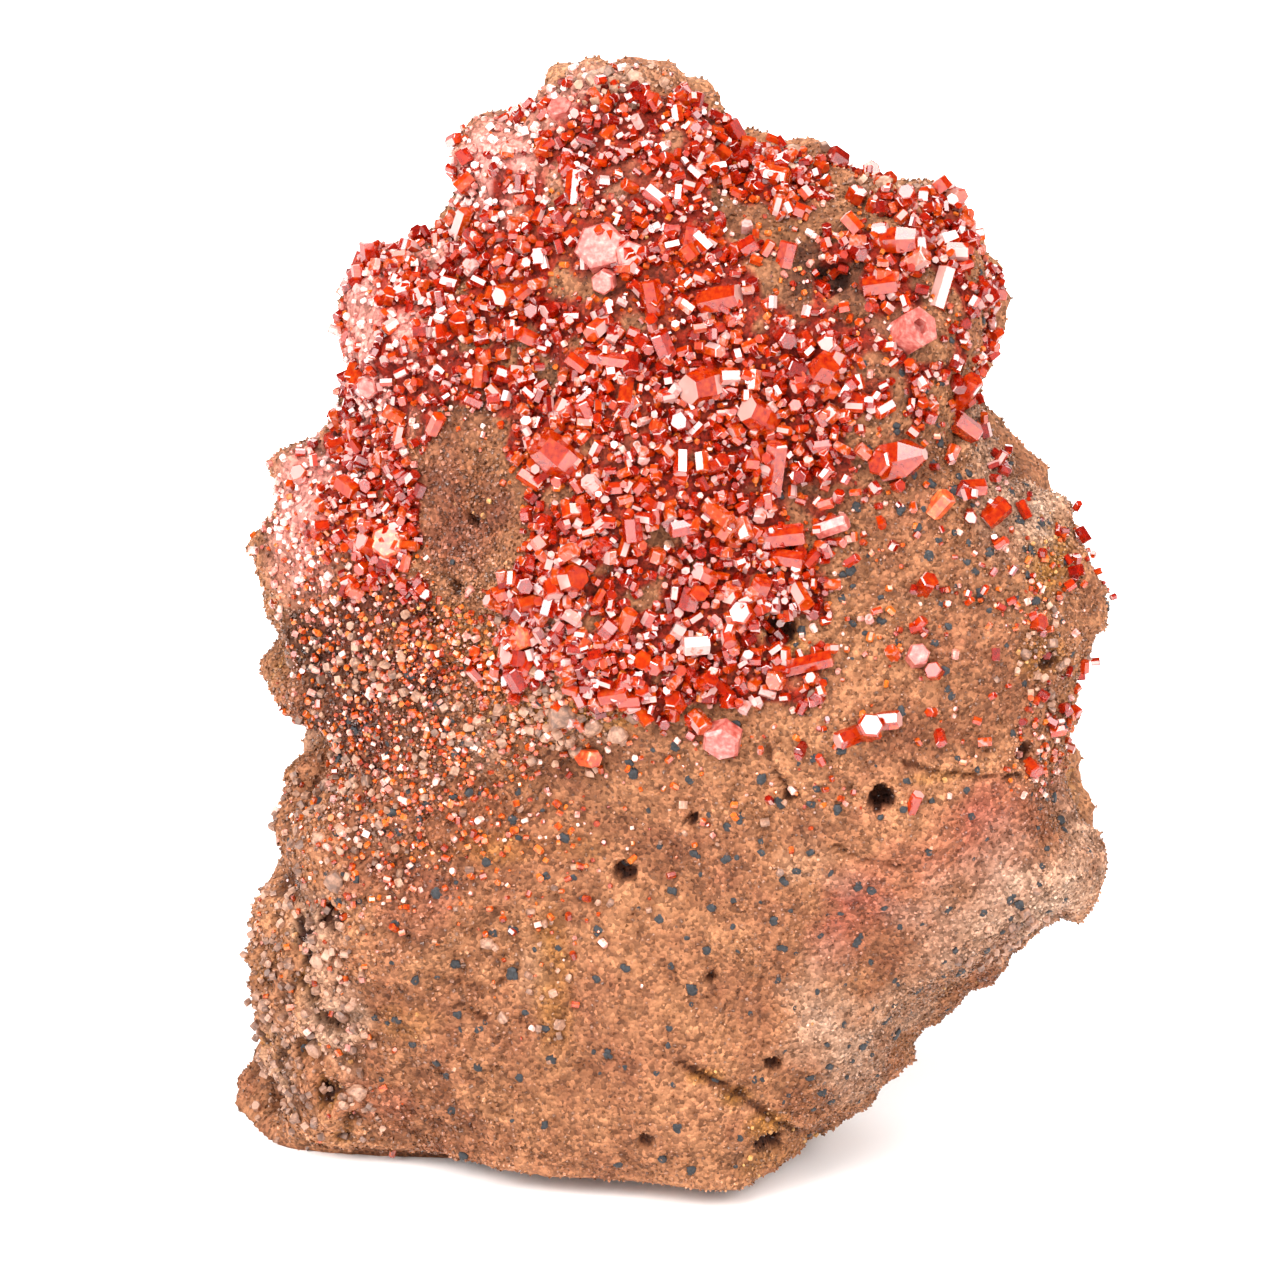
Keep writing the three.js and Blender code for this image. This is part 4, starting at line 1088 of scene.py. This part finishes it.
# %% cream crumbs
CRUMB_PATCHES = [
    # x, z, reach in x, reach in z, cover
    (-25.5, 20.6, 3.5, 4, 1.0), (-24.5, 13.3, 3, 5, 1.0), (-23.5, 6.5, 3, 4, 1.0), (-29.4, 9.1, 4, 9, 0.8),
    (-31, 17, 3, 4, 0.4), (-27, 28, 4, 4, 0.5), (-6, 40.1, 4, 1.6, 0.8), (-5, 37, 3, 2, 0.4),
    (-12.8, 38.1, 3, 3, 0.4), (-22.5, 41.1, 5, 3, 0.4), (-22.5, 29.9, 4, 4, 0.4), (-7.9, 19.6, 1.5, 6, 0.3),
    (-4, 83.8, 5, 2, 0.6), (16.4, 78.6, 8, 2, 0.5), (28.2, 44.1, 2.5, 3, 0.3), (26.2, 22.7, 3, 3, 0.3),
    (-8.9, 33, 20, 12, 0.06),
]
crumb_stone = crystal_material(         # cream to tan, chalky
    "cream_gangue_crumb", ["#5E3A26", "#8C6046", "#B08268"], roughness=0.6, transmission=0.0)
crumb_cover = patches(rock, CRUMB_PATCHES).clip(0, 1) * on_front
seats = spread_corners(2, rng)
seats = seats[rng.uniform(size=len(seats)) < 0.9 * crumb_cover[seats]]
tone = rng.uniform(0, 1, len(seats))
scatter_crystals(
    "cream_crumbs", seats, 0.1, 0.38, crumb_stone, "pale_crust", rng, tone, longest=2.0, wobble=0.35)

# %% lumps of gangue
CHUNKS = [
    # x, z, radius
    (-6.6, 40.3, 1.3), (-4.2, 39.4, 0.9), (-2.6, 38.5, 0.75), (-5.3, 36.6, 0.7), (-8.5, 42.3, 0.6),
    (-23.7, 25.6, 1.0), (-22.4, 7.6, 0.85), (-12.2, 21.2, 0.6), (-7.8, 37.9, 0.5), (-25.1, 18.9, 0.8),
    (-23.5, 13.7, 0.7), (-26.1, 10.3, 0.9), (-4.3, 83.9, 0.8), (-1.3, 84.1, 0.6), (10.2, 80.4, 0.6),
    (16.8, 78.7, 0.7), (-24.9, 28.5, 0.6), (-1.5, 39.9, 0.6), (-11.4, 15.4, 0.5),
]


def nearest_corner(place_x, place_z):
    """The front grid's corner nearest to x, z as seen from the front."""
    front = rock[:(FRONT_CELLS + 1) ** 2]
    return np.argmin(np.hypot(front[:, 0] - place_x, front[:, 2] - place_z))


chunk_table = np.array(CHUNKS)
seats = np.array([nearest_corner(chunk_x, chunk_z) for chunk_x, chunk_z, _ in CHUNKS])
LUMP_RINGS, LUMP_HEIGHTS = np.array([0.7, 1.0, 0.85, 0.35]), np.array([-0.5, -0.05, 0.4, 0.65])
reach, height = chunk_table[:, 2:] * LUMP_RINGS, chunk_table[:, 2:] * LUMP_HEIGHTS
axis = unit(skin_normal[seats] + 0.35 * rng.normal(size=(len(seats), 3)))
tone = rng.uniform(0.2, 0.9, len(seats))
ring_stacks(
    "gangue_lumps", rock[seats], axis, reach, height, 7, rng, crumb_stone, "pale_crust", wobble=0.25,
    tone=tone)

# %% [markdown]
# ## Sand
# The whole rock carries a fine sugar of vein quartz. Bump could draw it, but loose grains glint one by one
# and make the outline fuzzy, so each is a small three-sided solid with a tone of its own and the stains and
# painted light and shade of the rock under it. Three strips keep each mesh small enough.

# %% sand on the rock
SAND_GRAINS = 42000
SMALLEST_GRAIN, LARGEST_GRAIN = 0.07, 0.15      # radius, mm
SAND_ABOVE = 0.8                                # height, mm
STRIP_EDGES = [-6.0, 10.0]                      # x of the borders between left, middle and right
open_rock = rng.uniform(size=len(rock)) > np.maximum(cover, druse_cover)
seats = rng.permutation(np.flatnonzero((rock[:, 2] > SAND_ABOVE) & open_rock))[:SAND_GRAINS]
strip = np.searchsorted(STRIP_EDGES, rock[seats, 0])
strips = {name: seats[strip == i] for i, name in enumerate(["sand_left", "sand_middle", "sand_right"])}
for name, seats in strips.items():
    coarser = 1 + 0.5 * smooth_step(-rock[seats, 0], 4, 18) * on_front[seats]
    radius = rng.uniform(SMALLEST_GRAIN, LARGEST_GRAIN, len(seats)) * coarser
    axis = unit(rng.normal(size=(len(seats), 3)))
    reach = radius[:, None] * np.array([1.0, 0.8])
    height = radius[:, None] * np.array([-0.7, 0.7])
    tone = rng.uniform(0.0, 1.0, len(seats))
    grain_stains_and_shade = {key: values[seats] for key, values in stains_and_shade.items()}
    centre = rock[seats] + 0.25 * skin_normal[seats] * radius[:, None]
    ring_stacks(
        name, centre, axis, reach, height, 3, rng, sand_stone, "matrix", wobble=0.25, tone=tone,
        **grain_stains_and_shade)
